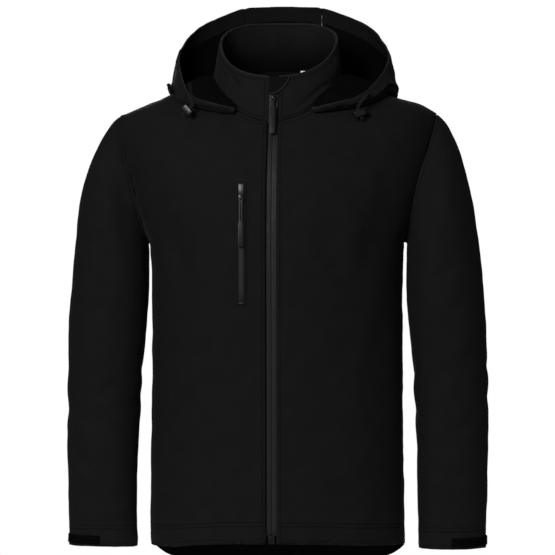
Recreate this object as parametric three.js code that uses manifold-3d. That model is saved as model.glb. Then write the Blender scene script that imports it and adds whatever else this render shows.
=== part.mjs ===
// Hooded softshell jacket, worn shape with nobody in it. Millimetres, +Z up, front towards -Y.
// The origin is the middle of the neck, level with the highest points of the shoulder seams.
// "left" and "right" are the wearer's: left is +X.

import * as THREE from 'three';
import { mergeVertices } from 'three/addons/utils/BufferGeometryUtils.js';
import Module from 'manifold-3d';

const wasm = await Module();
wasm.setup();

// Driving sizes of the cloth
const CLOTH = 1.6;
const SEAM_GAP = 0.3;
const COLLAR_THICKNESS = 2.8;
const RIM_THICKNESS = 3.4;
const RING_POWER = 2.4;
const NECK_POWER = 2.3;
const FRONT_EDGE_X = 7.5;
const NECK_HALF_WIDTH = 102;
const NECK_FRONT = 95;
const NECK_BACK = 78;
const SHOULDER_TIP = { x: 249.5, z: -58.5 };
const SHOULDER_EASE = 1.13;
const ARMPIT_Z = -262;
const ARMHOLE_ANGLE = 20.3;
const FRONT_HEM = { middle: -724, side: -732 };
const TAIL_DROP = 58;

// Torso rings: half width, and how deep the ring is in front of and behind the shoulder line
const TORSO = [
  { z: -800, half: 202, front: 125, back: 119.5 },
  { z: -730, half: 201.5, front: 126, back: 119.5 },
  { z: -667, half: 200.7, front: 127, back: 118 },
  { z: -588, half: 199.3, front: 128, back: 115 },
  { z: -509, half: 198.5, front: 130, back: 112.5 },
  { z: -422, half: 198, front: 132, back: 113 },
  { z: -351, half: 197.5, front: 134, back: 116 },
  { z: -262, half: 200, front: 136, back: 120.5 },
  { z: -240, half: 209, front: 135.5, back: 121.5 },
  { z: -200, half: 224, front: 133.5, back: 122 },
  { z: -153, half: 238, front: 127.5, back: 120.5 },
  { z: -113, half: 247, front: 115.5, back: 116.5 },
  { z: -86, half: 251, front: 101.5, back: 111.5 },
  { z: -58.5, half: 249.5, front: 85.5, back: 104 },
  { z: -30, half: 249.5, front: 66, back: 95 },
  { z: -15, half: 249.5, front: 52, back: 90 },
  { z: 0, half: 249.5, front: 36, back: 84 },
  { z: 20, half: 249.5, front: 36, back: 77.3 },
];
const NECK_SLOPE = 1.22;
const FORM_TOP = 24;
const SLOPE_STEP = 0.5;
const HALVINGS = 40;
const CLEAR_PASSES = 6;

// Rows and columns of the panels
const NECK_COLUMNS = 6;
const SHOULDER_COLUMNS = 6;
const HALF_COLUMNS = NECK_COLUMNS + SHOULDER_COLUMNS;
const BODY_ROWS = 9;
const YOKE_ROWS = 11;

// Sleeve sections below the armhole: outer and inner points, half depth, and middle in Y
const SLEEVE = [
  { outX: 255.5, outZ: -62.5, inX: 202.6, inZ: -260.6, depth: 54, midY: -2 },
  { outX: 263.5, outZ: -70.5, inX: 204.4, inZ: -262.6, depth: 57, midY: -2 },
  { outX: 276, outZ: -89, inX: 204.4, inZ: -268, depth: 60, midY: -2 },
  { outX: 290, outZ: -120, inX: 204, inZ: -277, depth: 63, midY: -2 },
  { outX: 303, outZ: -166, inX: 203.4, inZ: -291, depth: 65.5, midY: -2 },
  { outX: 311.5, outZ: -214, inX: 203, inZ: -311, depth: 66.5, midY: -2.5 },
  { outX: 317.5, outZ: -258, inX: 203, inZ: -335, depth: 66, midY: -3 },
  { outX: 322, outZ: -300, inX: 203.8, inZ: -362, depth: 64.5, midY: -3.5 },
  { outX: 326.5, outZ: -345, inX: 206.5, inZ: -395, depth: 62, midY: -4.5 },
  { outX: 330, outZ: -395, inX: 210.5, inZ: -432, depth: 59, midY: -6 },
  { outX: 332, outZ: -446, inX: 214, inZ: -472, depth: 56, midY: -8 },
  { outX: 332.5, outZ: -500, inX: 217, inZ: -518, depth: 53, midY: -10.5 },
  { outX: 332.3, outZ: -558, inX: 219.3, inZ: -570, depth: 49, midY: -13 },
  { outX: 331.5, outZ: -618, inX: 220.4, inZ: -626, depth: 44.5, midY: -16 },
  { outX: 330, outZ: -680, inX: 221, inZ: -685, depth: 40, midY: -18.5 },
  { outX: 329, outZ: -736, inX: 221.5, inZ: -737.5, depth: 36.5, midY: -20 },
];
const SLEEVE_POWER = 2.3;
const SLEEVE_BLEND_ROWS = 4;

// Stand-up collar: its top rim, over the neck seam
const COLLAR_RIM = { half: 92, front: 78, back: 66, sideZ: 57, frontFall: 61, backRise: 35, lean: 2 };
const COLLAR_ROWS = 5;
const COLLAR_SWELL = 2.2;
const COLLAR_GAP = 0.4;

// Hood, laid back round the collar: one row for each section, from its front end to the middle back.
// neck is the angle round the neck seam, fold the place where it lies on the shoulder, swell its roundness.
const HOOD = [
  { at: 0, foldX: 61, foldZ: -63, side: -1, rimX: 59, rimY: -93, rimZ: -55, swell: 0.6, lean: 0 },
  { at: 0.09, foldX: 95, foldZ: -60, side: -1, rimX: 88, rimY: -98, rimZ: -49, swell: 3, lean: 1 },
  { at: 0.17, foldX: 125, foldZ: -54, side: -1, rimX: 112, rimY: -93, rimZ: -42, swell: 6, lean: 2 },
  { at: 0.255, foldX: 156, foldZ: -42, side: -1, rimX: 135, rimY: -78, rimZ: -31, swell: 9, lean: 4 },
  { at: 0.35, foldX: 174, foldZ: -27, side: 0, rimX: 151, rimY: -45, rimZ: -10, swell: 12, lean: 6 },
  { at: 0.46, foldX: 180, foldZ: -45, side: 1, rimX: 160, rimY: 0, rimZ: 15, swell: 14, lean: 7 },
  { at: 0.573, foldX: 164, foldZ: -78, side: 1, rimX: 162, rimY: 50, rimZ: 45, swell: 16, lean: 6 },
  { at: 0.773, foldX: 106, foldZ: -128, side: 1, rimX: 125, rimY: 115, rimZ: 92, swell: 20, lean: 2 },
  { at: 1, foldX: 0, foldZ: -158, side: 1, rimX: 0, rimY: 150, rimZ: 128, swell: 22, lean: -2 },
];
const HOOD_FIRST_COLUMN = 2;
const HOOD_SEAM_COLUMN = 11;
const HOOD_SPLIT = 2;
const HOOD_STEPS = [2, 2, 3, 3, 3];
const FOLD_WIDTH = { most: 12, share: 0.34 };
const HOOD_MIDDLE_Y = 30;
const HOOD_OFF_BODY = 4.6;
const HOOD_UP_COLLAR = 4.3;
const HOOD_TRIM = 0.18;

// Front zip: tapes behind the front edges, box at the hem, slider near the collar's top
const TAPE = { thickness: 1.2, behind: 2.2, wide: 13, narrow: 7.1, bottomZ: -711, neckZ: -79, rows: 15 };
const ZIP_BOX = { width: 10, height: 12, depth: 4, sunk: 3, round: 1.2, z: -717.2 };
const GUARD = { lift: 0.45, thickness: 1.3, leftX: -7, topX: 24, bottomX: 3, topZ: -5, bottomZ: -31 };
const SLIDER = { halfWidth: 4.3, halfHeight: 5, plate: 3, bridgeWidth: 2.4, opening: 1.75, wall: 1.2 };
const SLIDER_ROUND = { plate: 1.6, bridge: 0.9, opening: 0.6 };
const ZIP_SLIDER = { z: -37.5, off: -1.6, scale: 1 };
const ZIP_PULL = {
  ring: 3.4, hole: 1.75, holeEnd: 4.7, ringEnd: 6.4, neck: 1.9, gripStart: 14, grip: 4.4, end: 60,
};
const POCKET_SLIDER = { z: -193, off: 1.4, scale: 0.86 };
const POCKET_PULL = {
  ring: 3.3, hole: 1.6, holeEnd: 4.4, ringEnd: 7, neck: 2.4, gripStart: 38, grip: 4.2, end: 76,
};
const PULL_THICKNESS = 2;
const PULL_BAR = { below: 0.8, above: 0.4 };
const PULL_ROUND = { ring: 1.2, shoulder: 1.6, end: 2, hole: 0.6, slot: 0.5 };
const PULL_TILT = { zip: 19.5, pocket: 2 };

// Chest pocket on the wearer's right, between its bottom and top
const POCKET = {
  x: -46, topZ: -172, bottomZ: -357, half: 7.75, welt: 3.1, tapeHalf: 4.3, garage: 15.5, stop: 3.6,
};
const POCKET_THICK = { welt: 1.4, garage: 2.2, stop: 1.8, tape: 0.7, lift: 0.35 };
const POCKET_ROWS = 8;

// Cuff straps: where they start and end round the sleeve (in its columns) and how high they sit
const STRAP = { from: 5, to: 16.5, lowShare: 0.93, highShare: 0.68, lift: 0.35, thickness: 1.6 };

const EYELET = {
  outer: 4.2, inner: 2.5, bevel: 0.6, thickness: 1.1, lift: 0.4, sides: 16, row: 12, column: 5,
};
const LOCK = { length: 20, height: 8.4, depth: 7.6, round: 3.2, slotHalf: 2.7, slotHeight: 1.35, slotRound: 0.9 };

// Cord locks in front of the hood's lower edge: middle, and how far the long side is turned
const LOCKS = [
  { name: 'left', x: 134, y: -93, z: -62, turn: 22 },
  { name: 'right', x: -133, y: -95, z: -56, turn: 132 },
];

// Cord strands, two a side: out of the eyelet, round and down through the lock, to a free end
const CORD = { radius: 1, sides: 8, steps: 30 };
const CORDS = [
  { name: 'cord_left_outer', points: [
    [145.6, -77.8, -33.3], [146.6, -80, -31.3], [146.7, -86.4, -31.8], [143, -91, -37.3],
    [137.6, -94.2, -44.2], [132.1, -93.9, -53], [133, -93.2, -55.9], [135.2, -92.8, -61.5],
    [137.5, -92.4, -67], [139.2, -92.1, -71.2],
  ] },
  { name: 'cord_left_inner', points: [
    [143.5, -78.8, -33.3], [144.5, -80.9, -31.3], [144.3, -85.6, -31.8], [141, -91, -35.7],
    [135.4, -94.2, -42.8], [129.6, -94.1, -52.6], [130.5, -93.6, -57], [132.8, -93.2, -62.5],
    [135, -92.8, -68.1], [136.7, -92.5, -72.2],
  ] },
  { name: 'cord_right_outer', points: [
    [-135.6, -79.3, -33.3], [-136.5, -81.3, -31.1], [-133.9, -86.5, -30.2], [-128.6, -91.8, -36.1],
    [-122.9, -95.2, -43.7], [-125.4, -96.3, -50.9], [-127.7, -95.9, -53], [-132.1, -95.2, -57],
    [-136.5, -94.4, -61], [-139.8, -93.8, -64],
  ] },
  { name: 'cord_right_inner', points: [
    [-137.8, -78.4, -33.3], [-138.6, -80.5, -31.1], [-137.1, -86.3, -32.6], [-130.4, -91.8, -37.9],
    [-125.5, -95.2, -44.3], [-127.3, -96, -49.2], [-129.5, -95.6, -51], [-133.9, -94.8, -55],
    [-138.3, -94.1, -59], [-141.7, -93.5, -61.9],
  ] },
];

const LABEL = { column: 10, from: 0.06, to: 0.6, topZ: 17, length: 23, thickness: 0.6, lift: 0.3 };

const COLOUR = { cloth: 0x121316, inside: 0x0b0c0d, tape: 0x1b1c1e, plastic: 0x151617, label: 0xf2f2f0 };

const at = (x, y, z) => new THREE.Vector3(x, y, z);
const radians = THREE.MathUtils.degToRad;
const mix = THREE.MathUtils.lerp;
const power = (value, exponent) => Math.sign(value) * Math.abs(value) ** exponent;

// A smooth curve through two columns of a table
function through(rows, from, to) {
  const xs = rows.map((row) => row[from]);
  const ys = rows.map((row) => row[to]);
  const last = xs.length - 1;
  const slopes = xs.map((_, i) => {
    const before = Math.max(i - 1, 0);
    const after = Math.min(i + 1, last);
    return (ys[after] - ys[before]) / (xs[after] - xs[before]);
  });
  return (x) => {
    const inside = THREE.MathUtils.clamp(x, xs[0], xs[last]);
    let i = 0;
    while (i < last - 1 && xs[i + 1] < inside) i += 1;
    const step = xs[i + 1] - xs[i];
    const t = (inside - xs[i]) / step;
    const rise = ys[i + 1] - ys[i];
    const a = slopes[i] * step - rise;
    const b = rise - slopes[i + 1] * step;
    return ys[i] + rise * t + t * (1 - t) * (a * (1 - t) + b * t);
  };
}

const ringHalf = through(TORSO, 'z', 'half');
const ringFront = through(TORSO, 'z', 'front');
const ringBack = through(TORSO, 'z', 'back');

// Half width of the torso form: rings up to the shoulder tip, then the shoulder seam, then the neck
function halfWidth(z) {
  if (z <= SHOULDER_TIP.z) return ringHalf(z);
  if (z > 0) return NECK_HALF_WIDTH - NECK_SLOPE * z;
  const along = (z / SHOULDER_TIP.z) ** (1 / SHOULDER_EASE);
  return mix(NECK_HALF_WIDTH, SHOULDER_TIP.x, along);
}

const depth = (z, side) => (side < 0 ? ringFront(z) : ringBack(z));

// Y of the torso form at x and z, on the front (side -1) or the back (side 1)
function formY(x, z, side) {
  const share = Math.min(Math.abs(x) / halfWidth(z), 1);
  return side * depth(z, side) * (1 - share ** RING_POWER) ** (1 / RING_POWER);
}

function formNormal(x, z, side) {
  const step = SLOPE_STEP;
  const overX = (formY(x + step, z, side) - formY(x - step, z, side)) / (2 * step);
  const overZ = (formY(x, z + step, side) - formY(x, z - step, side)) / (2 * step);
  return at(overX, -1, overZ).multiplyScalar(-side).normalize();
}

const formPoint = (x, z, side) => at(x, formY(x, z, side), z);

// How far a point is outside the torso form, and the way out
function formDistance(point) {
  const level = (p) => {
    const across = Math.abs(p.x) / halfWidth(p.z);
    const along = Math.abs(p.y) / depth(p.z, p.y);
    return (across ** RING_POWER + along ** RING_POWER) ** (1 / RING_POWER);
  };
  const slope = (step) => (level(point.clone().add(step)) - level(point.clone().sub(step))) / (2 * SLOPE_STEP);
  const way = at(slope(at(SLOPE_STEP, 0, 0)), slope(at(0, SLOPE_STEP, 0)), slope(at(0, 0, SLOPE_STEP)));
  return { distance: (level(point) - 1) / way.length(), way: way.normalize() };
}

// Moves a point out until it is clear of the torso form
function clearOfForm(point, clearance) {
  const moved = point.clone();
  for (let pass = 0; pass < CLEAR_PASSES && moved.z < FORM_TOP; pass += 1) {
    const { distance, way } = formDistance(moved);
    if (distance >= clearance) break;
    moved.addScaledVector(way, clearance - distance);
  }
  return moved;
}

const shoulderZ = (along) => SHOULDER_TIP.z * along ** SHOULDER_EASE;

// A point of the neck seam, at an angle from the middle front (0) to the middle back (180)
function neckPoint(angle) {
  const turn = radians(angle);
  const side = angle <= 90 ? -1 : 1;
  const reach = side < 0 ? NECK_FRONT : NECK_BACK;
  const x = NECK_HALF_WIDTH * Math.abs(Math.sin(turn)) ** (2 / NECK_POWER);
  const y = reach * Math.abs(Math.cos(turn)) ** (2 / NECK_POWER);
  if (y < 1e-6) return at(x, 0, 0);
  let [low, high] = side < 0 ? [-95, 0] : [-1, 19];
  for (let pass = 0; pass < HALVINGS; pass += 1) {
    const middle = (low + high) / 2;
    if (Math.abs(formY(x, middle, side)) > y) low = middle;
    else high = middle;
  }
  return at(x, side * y, (low + high) / 2);
}

// A point of the armhole, from the armpit (0) up to the shoulder tip (1)
function armholePoint(along, side) {
  const z = mix(ARMPIT_Z, SHOULDER_TIP.z, (1 - Math.cos(Math.PI * along)) / 2);
  const turn = radians(90 - ARMHOLE_ANGLE * Math.max(Math.sin(Math.PI * along), 0) ** 1.2);
  const x = halfWidth(z) * Math.sin(turn) ** (2 / RING_POWER);
  return at(x, side * depth(z, side) * Math.max(Math.cos(turn), 0) ** (2 / RING_POWER), z);
}

const frontEdgeAngle = THREE.MathUtils.radToDeg(Math.asin((FRONT_EDGE_X / NECK_HALF_WIDTH) ** (NECK_POWER / 2)));

// Outer points of half a panel: rows from hem to top, columns from the middle out to the side
function halfPanel(side, middleX, hemZ) {
  const firstTurn = Math.asin((middleX / halfWidth(ARMPIT_Z)) ** (RING_POWER / 2));
  const firstNeck = side < 0 ? frontEdgeAngle : 0;
  const columns = Array.from({ length: HALF_COLUMNS + 1 }, (_, i) => i);
  const turns = columns.map((i) => mix(firstTurn, Math.PI / 2, i / HALF_COLUMNS));
  const tops = columns.map((i) => {
    if (i <= NECK_COLUMNS) {
      const angle = mix(firstNeck, 90, i / NECK_COLUMNS);
      const point = neckPoint(side < 0 ? angle : 180 - angle);
      return i === 0 ? at(middleX, point.y, point.z) : point;
    }
    const along = (i - NECK_COLUMNS) / SHOULDER_COLUMNS;
    return at(mix(NECK_HALF_WIDTH, SHOULDER_TIP.x, along), 0, shoulderZ(along));
  });
  const rows = [];
  for (let r = 0; r < BODY_ROWS; r += 1) {
    rows.push(turns.map((turn, i) => {
      const z = mix(hemZ(turn), ARMPIT_Z, r / BODY_ROWS);
      const x = i === 0 ? middleX : halfWidth(z) * Math.sin(turn) ** (2 / RING_POWER);
      return at(x, formY(x, z, side), z);
    }));
  }
  const armpitHalf = halfWidth(ARMPIT_Z);
  const armpitX = turns.map((turn, i) => (i === 0 ? middleX : armpitHalf * Math.sin(turn) ** (2 / RING_POWER)));
  for (let r = 0; r <= YOKE_ROWS; r += 1) {
    const w = r / YOKE_ROWS;
    const armhole = armholePoint(w, side);
    const straight = mix(armpitX[HALF_COLUMNS], SHOULDER_TIP.x, w);
    rows.push(columns.map((i) => {
      if (i === HALF_COLUMNS) return armhole.clone();
      if (r === YOKE_ROWS) return tops[i].clone();
      const share = i / HALF_COLUMNS;
      const rise = mix(w, (1 - Math.cos(Math.PI * w)) / 2, Math.sqrt(share));
      const x = mix(armpitX[i], tops[i].x, w) + share ** 2 * (armhole.x - straight);
      const z = mix(ARMPIT_Z, tops[i].z, rise);
      return at(x, formY(x, z, side), z);
    }));
  }
  return rows;
}

// Unit normals of a grid of points, out of its U x V side
function gridNormals(grid, closed) {
  const rows = grid.length;
  const columns = grid[0].length;
  return grid.map((row, r) => row.map((_, c) => {
    const left = closed ? (c + columns - 1) % columns : Math.max(c - 1, 0);
    const right = closed ? (c + 1) % columns : Math.min(c + 1, columns - 1);
    const u = row[right].clone().sub(row[left]);
    const v = grid[Math.min(r + 1, rows - 1)][c].clone().sub(grid[Math.max(r - 1, 0)][c]);
    return u.cross(v).normalize();
  }));
}

const inwards = (grid, normals, thickness) => grid.map((row, r) => row.map((point, c) => {
  const amount = typeof thickness === 'function' ? thickness(r, c) : thickness;
  return point.clone().addScaledVector(normals[r][c], -amount);
}));

// A closed wall between two grids of points that match
function wallGeometry(outer, inner, closed) {
  const rows = outer.length;
  const columns = outer[0].length;
  const position = [];
  const index = [];
  for (const grid of [outer, inner]) {
    for (const row of grid) {
      for (const point of row) position.push(point.x, point.y, point.z);
    }
  }
  const id = (layer, r, c) => (layer * rows + r) * columns + (c % columns);
  const quad = (a, b, c, d) => index.push(a, b, c, a, c, d);
  const spans = closed ? columns : columns - 1;
  for (let r = 0; r < rows - 1; r += 1) {
    for (let c = 0; c < spans; c += 1) {
      quad(id(0, r, c), id(0, r, c + 1), id(0, r + 1, c + 1), id(0, r + 1, c));
      quad(id(1, r, c), id(1, r + 1, c), id(1, r + 1, c + 1), id(1, r, c + 1));
    }
    if (!closed) {
      quad(id(1, r, 0), id(0, r, 0), id(0, r + 1, 0), id(1, r + 1, 0));
      quad(id(0, r, columns - 1), id(1, r, columns - 1), id(1, r + 1, columns - 1), id(0, r + 1, columns - 1));
    }
  }
  for (let c = 0; c < spans; c += 1) {
    quad(id(1, 0, c), id(1, 0, c + 1), id(0, 0, c + 1), id(0, 0, c));
    quad(id(0, rows - 1, c), id(0, rows - 1, c + 1), id(1, rows - 1, c + 1), id(1, rows - 1, c));
  }
  const geometry = new THREE.BufferGeometry();
  geometry.setAttribute('position', new THREE.Float32BufferAttribute(position, 3));
  geometry.setIndex(index);
  return geometry;
}

const mirrored = (grid) => grid.map((row) => row.map((p) => at(-p.x, p.y, p.z)).reverse());

// The wall of a panel, with its seam edges square to the seams and half a gap back from them
function panelWall(side) {
  const flat = (vector, axis) => {
    vector[axis] = 0;
    return vector.normalize();
  };
  const middleX = side < 0 ? FRONT_EDGE_X : 0;
  const hemZ = side < 0
    ? (turn) => mix(FRONT_HEM.middle, FRONT_HEM.side, Math.sin(turn) ** 2)
    : (turn) => FRONT_HEM.side - TAIL_DROP * Math.max(Math.cos(turn), 0) ** 1.2;
  const half = halfPanel(side, middleX, hemZ);
  const outward = gridNormals(half, false);
  if (side > 0) outward.forEach((row) => row.forEach((n) => n.negate()));
  const top = half.length - 1;
  const onSeam = (r, c) => (c === HALF_COLUMNS && r <= BODY_ROWS) || (r === top && c >= NECK_COLUMNS);
  half.forEach((row, r) => row.forEach((point, c) => {
    if (onSeam(r, c)) {
      flat(outward[r][c], 'y');
      point.y = (side * SEAM_GAP) / 2;
    }
    if (c === 0) flat(outward[r][c], 'x');
  }));
  return { outer: half, inner: inwards(half, outward, CLOTH), normals: outward };
}

const frontHalf = panelWall(-1);
const backHalf = panelWall(1);

// Points just off a panel's edge, in the panel's own surface, for the piece that is sewn on there
function offEdge(points, normals, turnSide, gap = SEAM_GAP) {
  const last = points.length - 1;
  return points.map((point, i) => {
    const edge = points[Math.min(i + 1, last)].clone().sub(points[Math.max(i - 1, 0)]);
    const away = edge.cross(normals[i]).normalize().multiplyScalar(turnSide);
    return point.clone().addScaledVector(away, gap);
  });
}

const column = (grid, c, from) => grid.slice(from).map((row) => row[c]);

function average(a, b) {
  return a.clone().add(b).multiplyScalar(0.5);
}

// Joins a front and a back edge that meet at the first and last point
function loopOf(back, front) {
  const last = back.length - 1;
  const loop = [average(back[0], front[0])];
  for (let i = 1; i < last; i += 1) loop.push(back[i]);
  loop.push(average(back[last], front[last]));
  for (let i = last - 1; i > 0; i -= 1) loop.push(front[i]);
  return loop;
}

function sleeveWall() {
  const edge = (panel, turnSide) => {
    const points = column(panel.outer, HALF_COLUMNS, BODY_ROWS);
    const normals = column(panel.normals, HALF_COLUMNS, BODY_ROWS);
    return { points: offEdge(points, normals, turnSide), normals };
  };
  const front = edge(frontHalf, 1);
  const back = edge(backHalf, -1);
  const first = loopOf(back.points, front.points);
  const firstNormals = loopOf(back.normals, front.normals).map((n) => n.normalize());
  const tip = first[YOKE_ROWS];
  const pit = first[0];
  const middle = average(tip, pit);
  const reach = tip.clone().sub(pit).multiplyScalar(0.5);
  const flatWay = at(-reach.z, 0, reach.x).normalize();
  const local = first.map((point) => {
    const offset = point.clone().sub(middle);
    return { up: offset.dot(reach) / reach.lengthSq(), y: offset.y, out: offset.dot(flatWay) };
  });
  const rows = [first];
  SLEEVE.forEach((section, k) => {
    const blend = Math.min((k + 1) / SLEEVE_BLEND_ROWS, 1);
    const out = at(section.outX, 0, section.outZ);
    const inner = at(section.inX, 0, section.inZ);
    const centre = average(out, inner);
    const half = out.clone().sub(inner).multiplyScalar(0.5);
    const across = at(-half.z, 0, half.x).normalize();
    rows.push(local.map((start, j) => {
      const turn = (Math.PI * j) / YOKE_ROWS;
      const up = mix(start.up, -power(Math.cos(turn), 2 / SLEEVE_POWER), blend);
      const y = mix(start.y, section.midY + section.depth * power(Math.sin(turn), 2 / SLEEVE_POWER), blend);
      const point = centre.clone().addScaledVector(half, up).addScaledVector(across, start.out * (1 - blend));
      point.y = y;
      return point;
    }));
  });
  const normals = gridNormals(rows, true);
  normals[0] = firstNormals;
  return { outer: rows, inner: inwards(rows, normals, CLOTH), normals };
}

const sleeveLeft = sleeveWall();

// The collar stands on the neck edges of the fronts and the back
function collarWall() {
  const neckEdge = (panel, turnSide) => {
    const top = panel.outer.length - 1;
    const points = panel.outer[top].slice(0, NECK_COLUMNS + 1);
    const normals = panel.normals[top].slice(0, NECK_COLUMNS + 1);
    return { points: offEdge(points, normals, turnSide, COLLAR_GAP), normals };
  };
  const front = neckEdge(frontHalf, -1);
  const back = neckEdge(backHalf, 1);
  const quarter = NECK_COLUMNS;
  const half = [];
  const halfNormals = [];
  const angles = [];
  for (let i = 0; i < quarter; i += 1) {
    half.push(front.points[i]);
    halfNormals.push(front.normals[i]);
    angles.push(mix(frontEdgeAngle, 90, i / quarter));
  }
  half.push(average(front.points[quarter], back.points[quarter]));
  halfNormals.push(average(front.normals[quarter], back.normals[quarter]).normalize());
  angles.push(90);
  for (let i = quarter - 1; i >= 0; i -= 1) {
    half.push(back.points[i]);
    halfNormals.push(back.normals[i]);
    angles.push(180 - (90 * i) / quarter);
  }
  const flip = (v) => at(-v.x, v.y, v.z);
  const base = half.concat(half.slice(0, -1).reverse().map(flip));
  const baseNormals = halfNormals.concat(halfNormals.slice(0, -1).reverse().map(flip));
  const turns = angles.concat(angles.slice(0, -1).reverse().map((angle) => -angle));
  const rim = base.map((point, i) => {
    const turn = radians(turns[i]);
    const inFront = Math.cos(turn) > 0;
    const exponent = 2 / NECK_POWER;
    const lean = COLLAR_RIM.lean * Math.sin(turn) ** 2;
    const edge = i === 0 || i === base.length - 1;
    const x = edge ? point.x : COLLAR_RIM.half * power(Math.sin(turn), exponent) + lean;
    const y = -(inFront ? COLLAR_RIM.front : COLLAR_RIM.back) * power(Math.cos(turn), exponent);
    return at(x, y, COLLAR_RIM.sideZ - (inFront ? COLLAR_RIM.frontFall : COLLAR_RIM.backRise) * Math.cos(turn));
  });
  const rows = Array.from({ length: COLLAR_ROWS + 1 }, (_, r) => {
    const h = r / COLLAR_ROWS;
    return base.map((point, i) => {
      const mixed = point.clone().lerp(rim[i], h);
      const outwards = at(mixed.x, mixed.y, 0).normalize();
      const edge = i === 0 || i === base.length - 1;
      if (edge) outwards.set(0, -1, 0);
      return mixed.addScaledVector(outwards, COLLAR_SWELL * Math.sin(Math.PI * h) ** 2);
    });
  });
  const normals = gridNormals(rows, false);
  normals[0] = baseNormals.map((n) => n.clone());
  normals.forEach((row) => [row[0], row[row.length - 1]].forEach((n) => {
    n.x = 0;
    n.normalize();
  }));
  return { outer: rows, inner: inwards(rows, normals, COLLAR_THICKNESS), normals };
}

const collar = collarWall();

// Where the hood leaves the collar: a point just off the collar's face, at a column (whole or half)
function onCollar(spot) {
  const first = Math.floor(spot);
  const next = Math.min(first + 1, collar.outer[0].length - 1);
  const along = (row) => row[first].clone().lerp(row[next], spot - first);
  const low = along(collar.outer[0]);
  const up = along(collar.outer[1]).sub(low).normalize();
  const out = along(collar.normals[1]).normalize();
  out.addScaledVector(up, -out.dot(up)).normalize();
  return { point: low.addScaledVector(up, HOOD_UP_COLLAR).addScaledVector(out, SEAM_GAP * 1.1), up };
}

const hoodAround = HOOD.concat(HOOD.slice(0, -1).reverse().map((row) => ({
  ...row, at: 2 - row.at, foldX: -row.foldX, rimX: -row.rimX,
})));
const hoodColumn = Object.fromEntries(
  Object.keys(HOOD[0]).filter((name) => name !== 'at').map((name) => [name, through(hoodAround, 'at', name)]),
);

// One section of the hood's outer face, from the collar under the fold and up to the rim
function hoodSection(spot) {
  const middle = (collar.outer[0].length - 1) / 2;
  const pick = (name) => hoodColumn[name]((spot - HOOD_FIRST_COLUMN) / (middle - HOOD_FIRST_COLUMN));
  const { point: seam, up } = onCollar(spot);
  const foldX = pick('foldX') + pick('lean');
  const foldZ = pick('foldZ');
  const foldY = mix(formY(foldX, foldZ, -1), formY(foldX, foldZ, 1), (pick('side') + 1) / 2);
  const fold = clearOfForm(at(foldX, foldY, foldZ), HOOD_OFF_BODY);
  const rim = at(pick('rimX') + pick('lean'), pick('rimY'), pick('rimZ'));
  const under = clearOfForm(average(seam, fold), HOOD_OFF_BODY);
  const outwards = at(fold.x + rim.x, fold.y + rim.y - HOOD_MIDDLE_Y, 0).normalize();
  const swell = average(fold, rim).addScaledVector(outwards, pick('swell'));
  const width = Math.min(FOLD_WIDTH.most, FOLD_WIDTH.share * fold.distanceTo(rim));
  const foldOut = fold.clone().addScaledVector(formDistance(fold).way, width);
  const curve = new THREE.CatmullRomCurve3([seam, under, fold, foldOut, swell, rim], false, 'centripetal');
  const points = [];
  HOOD_STEPS.forEach((steps, span) => {
    for (let i = 0; i < steps; i += 1) points.push(curve.getPoint((span + i / steps) / HOOD_STEPS.length));
  });
  points.push(rim);
  return { points: points.map((point, i) => (i === 0 ? point : clearOfForm(point, HOOD_OFF_BODY))), up };
}

function hoodWall() {
  const lastColumn = collar.outer[0].length - 1;
  const sections = [];
  const count = (lastColumn - 2 * HOOD_FIRST_COLUMN) * HOOD_SPLIT;
  for (let i = 0; i <= count; i += 1) sections.push(hoodSection(HOOD_FIRST_COLUMN + i / HOOD_SPLIT));
  const outer = sections[0].points.map((_, r) => sections.map((section) => section.points[r]));
  const normals = gridNormals(outer, false);
  normals[0] = sections.map((section) => section.up.clone().negate());
  const rimRow = outer.length - 1;
  const thick = (r) => (r >= rimRow - 1 ? RIM_THICKNESS : CLOTH);
  return { outer, inner: inwards(outer, normals, thick), normals };
}

const hood = hoodWall();

// A run of a wall's columns, with its ends half a gap back from the seams
function cutPiece(wall, from, to, trimStart, trimEnd) {
  const slice = (grid) => grid.map((row) => row.slice(from, to + 1).map((point) => point.clone()));
  const outer = slice(wall.outer);
  const inner = slice(wall.inner);
  const trim = (c, next) => {
    outer.forEach((row, r) => {
      const shift = row[next].clone().sub(row[c]).normalize().multiplyScalar(HOOD_TRIM);
      row[c].add(shift);
      inner[r][c].add(shift);
    });
  };
  if (trimStart) trim(0, 1);
  if (trimEnd) trim(to - from, to - from - 1);
  return wallGeometry(outer, inner, false);
}

const group = new THREE.Group();

function add(name, geometry, colour, roughness = 0.85) {
  const material = new THREE.MeshStandardMaterial({ color: colour, roughness });
  const mesh = new THREE.Mesh(geometry, material);
  mesh.name = name;
  geometry.computeVertexNormals();
  group.add(mesh);
  return mesh;
}

function joinHalves(half) {
  const other = mirrored(half);
  return half.map((row, r) => row.slice().reverse().concat(other[r].slice().reverse().slice(1)));
}

add('front_left', wallGeometry(frontHalf.outer, frontHalf.inner, false), COLOUR.cloth);
add('front_right', wallGeometry(mirrored(frontHalf.outer), mirrored(frontHalf.inner), false), COLOUR.cloth);
add('back', wallGeometry(joinHalves(backHalf.outer), joinHalves(backHalf.inner), false), COLOUR.cloth);
add('sleeve_left', wallGeometry(sleeveLeft.outer, sleeveLeft.inner, true), COLOUR.cloth);
add('sleeve_right', wallGeometry(mirrored(sleeveLeft.outer), mirrored(sleeveLeft.inner), true), COLOUR.cloth);
add('collar', wallGeometry(collar.outer, collar.inner, false), COLOUR.cloth);
const hoodEnd = hood.outer[0].length - 1;
const middleStart = (HOOD_SEAM_COLUMN - HOOD_FIRST_COLUMN) * HOOD_SPLIT;
const middleEnd = hoodEnd - middleStart;
add('hood_side_left', cutPiece(hood, 0, middleStart, false, true), COLOUR.cloth);
add('hood_centre', cutPiece(hood, middleStart, middleEnd, true, true), COLOUR.cloth);
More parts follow.
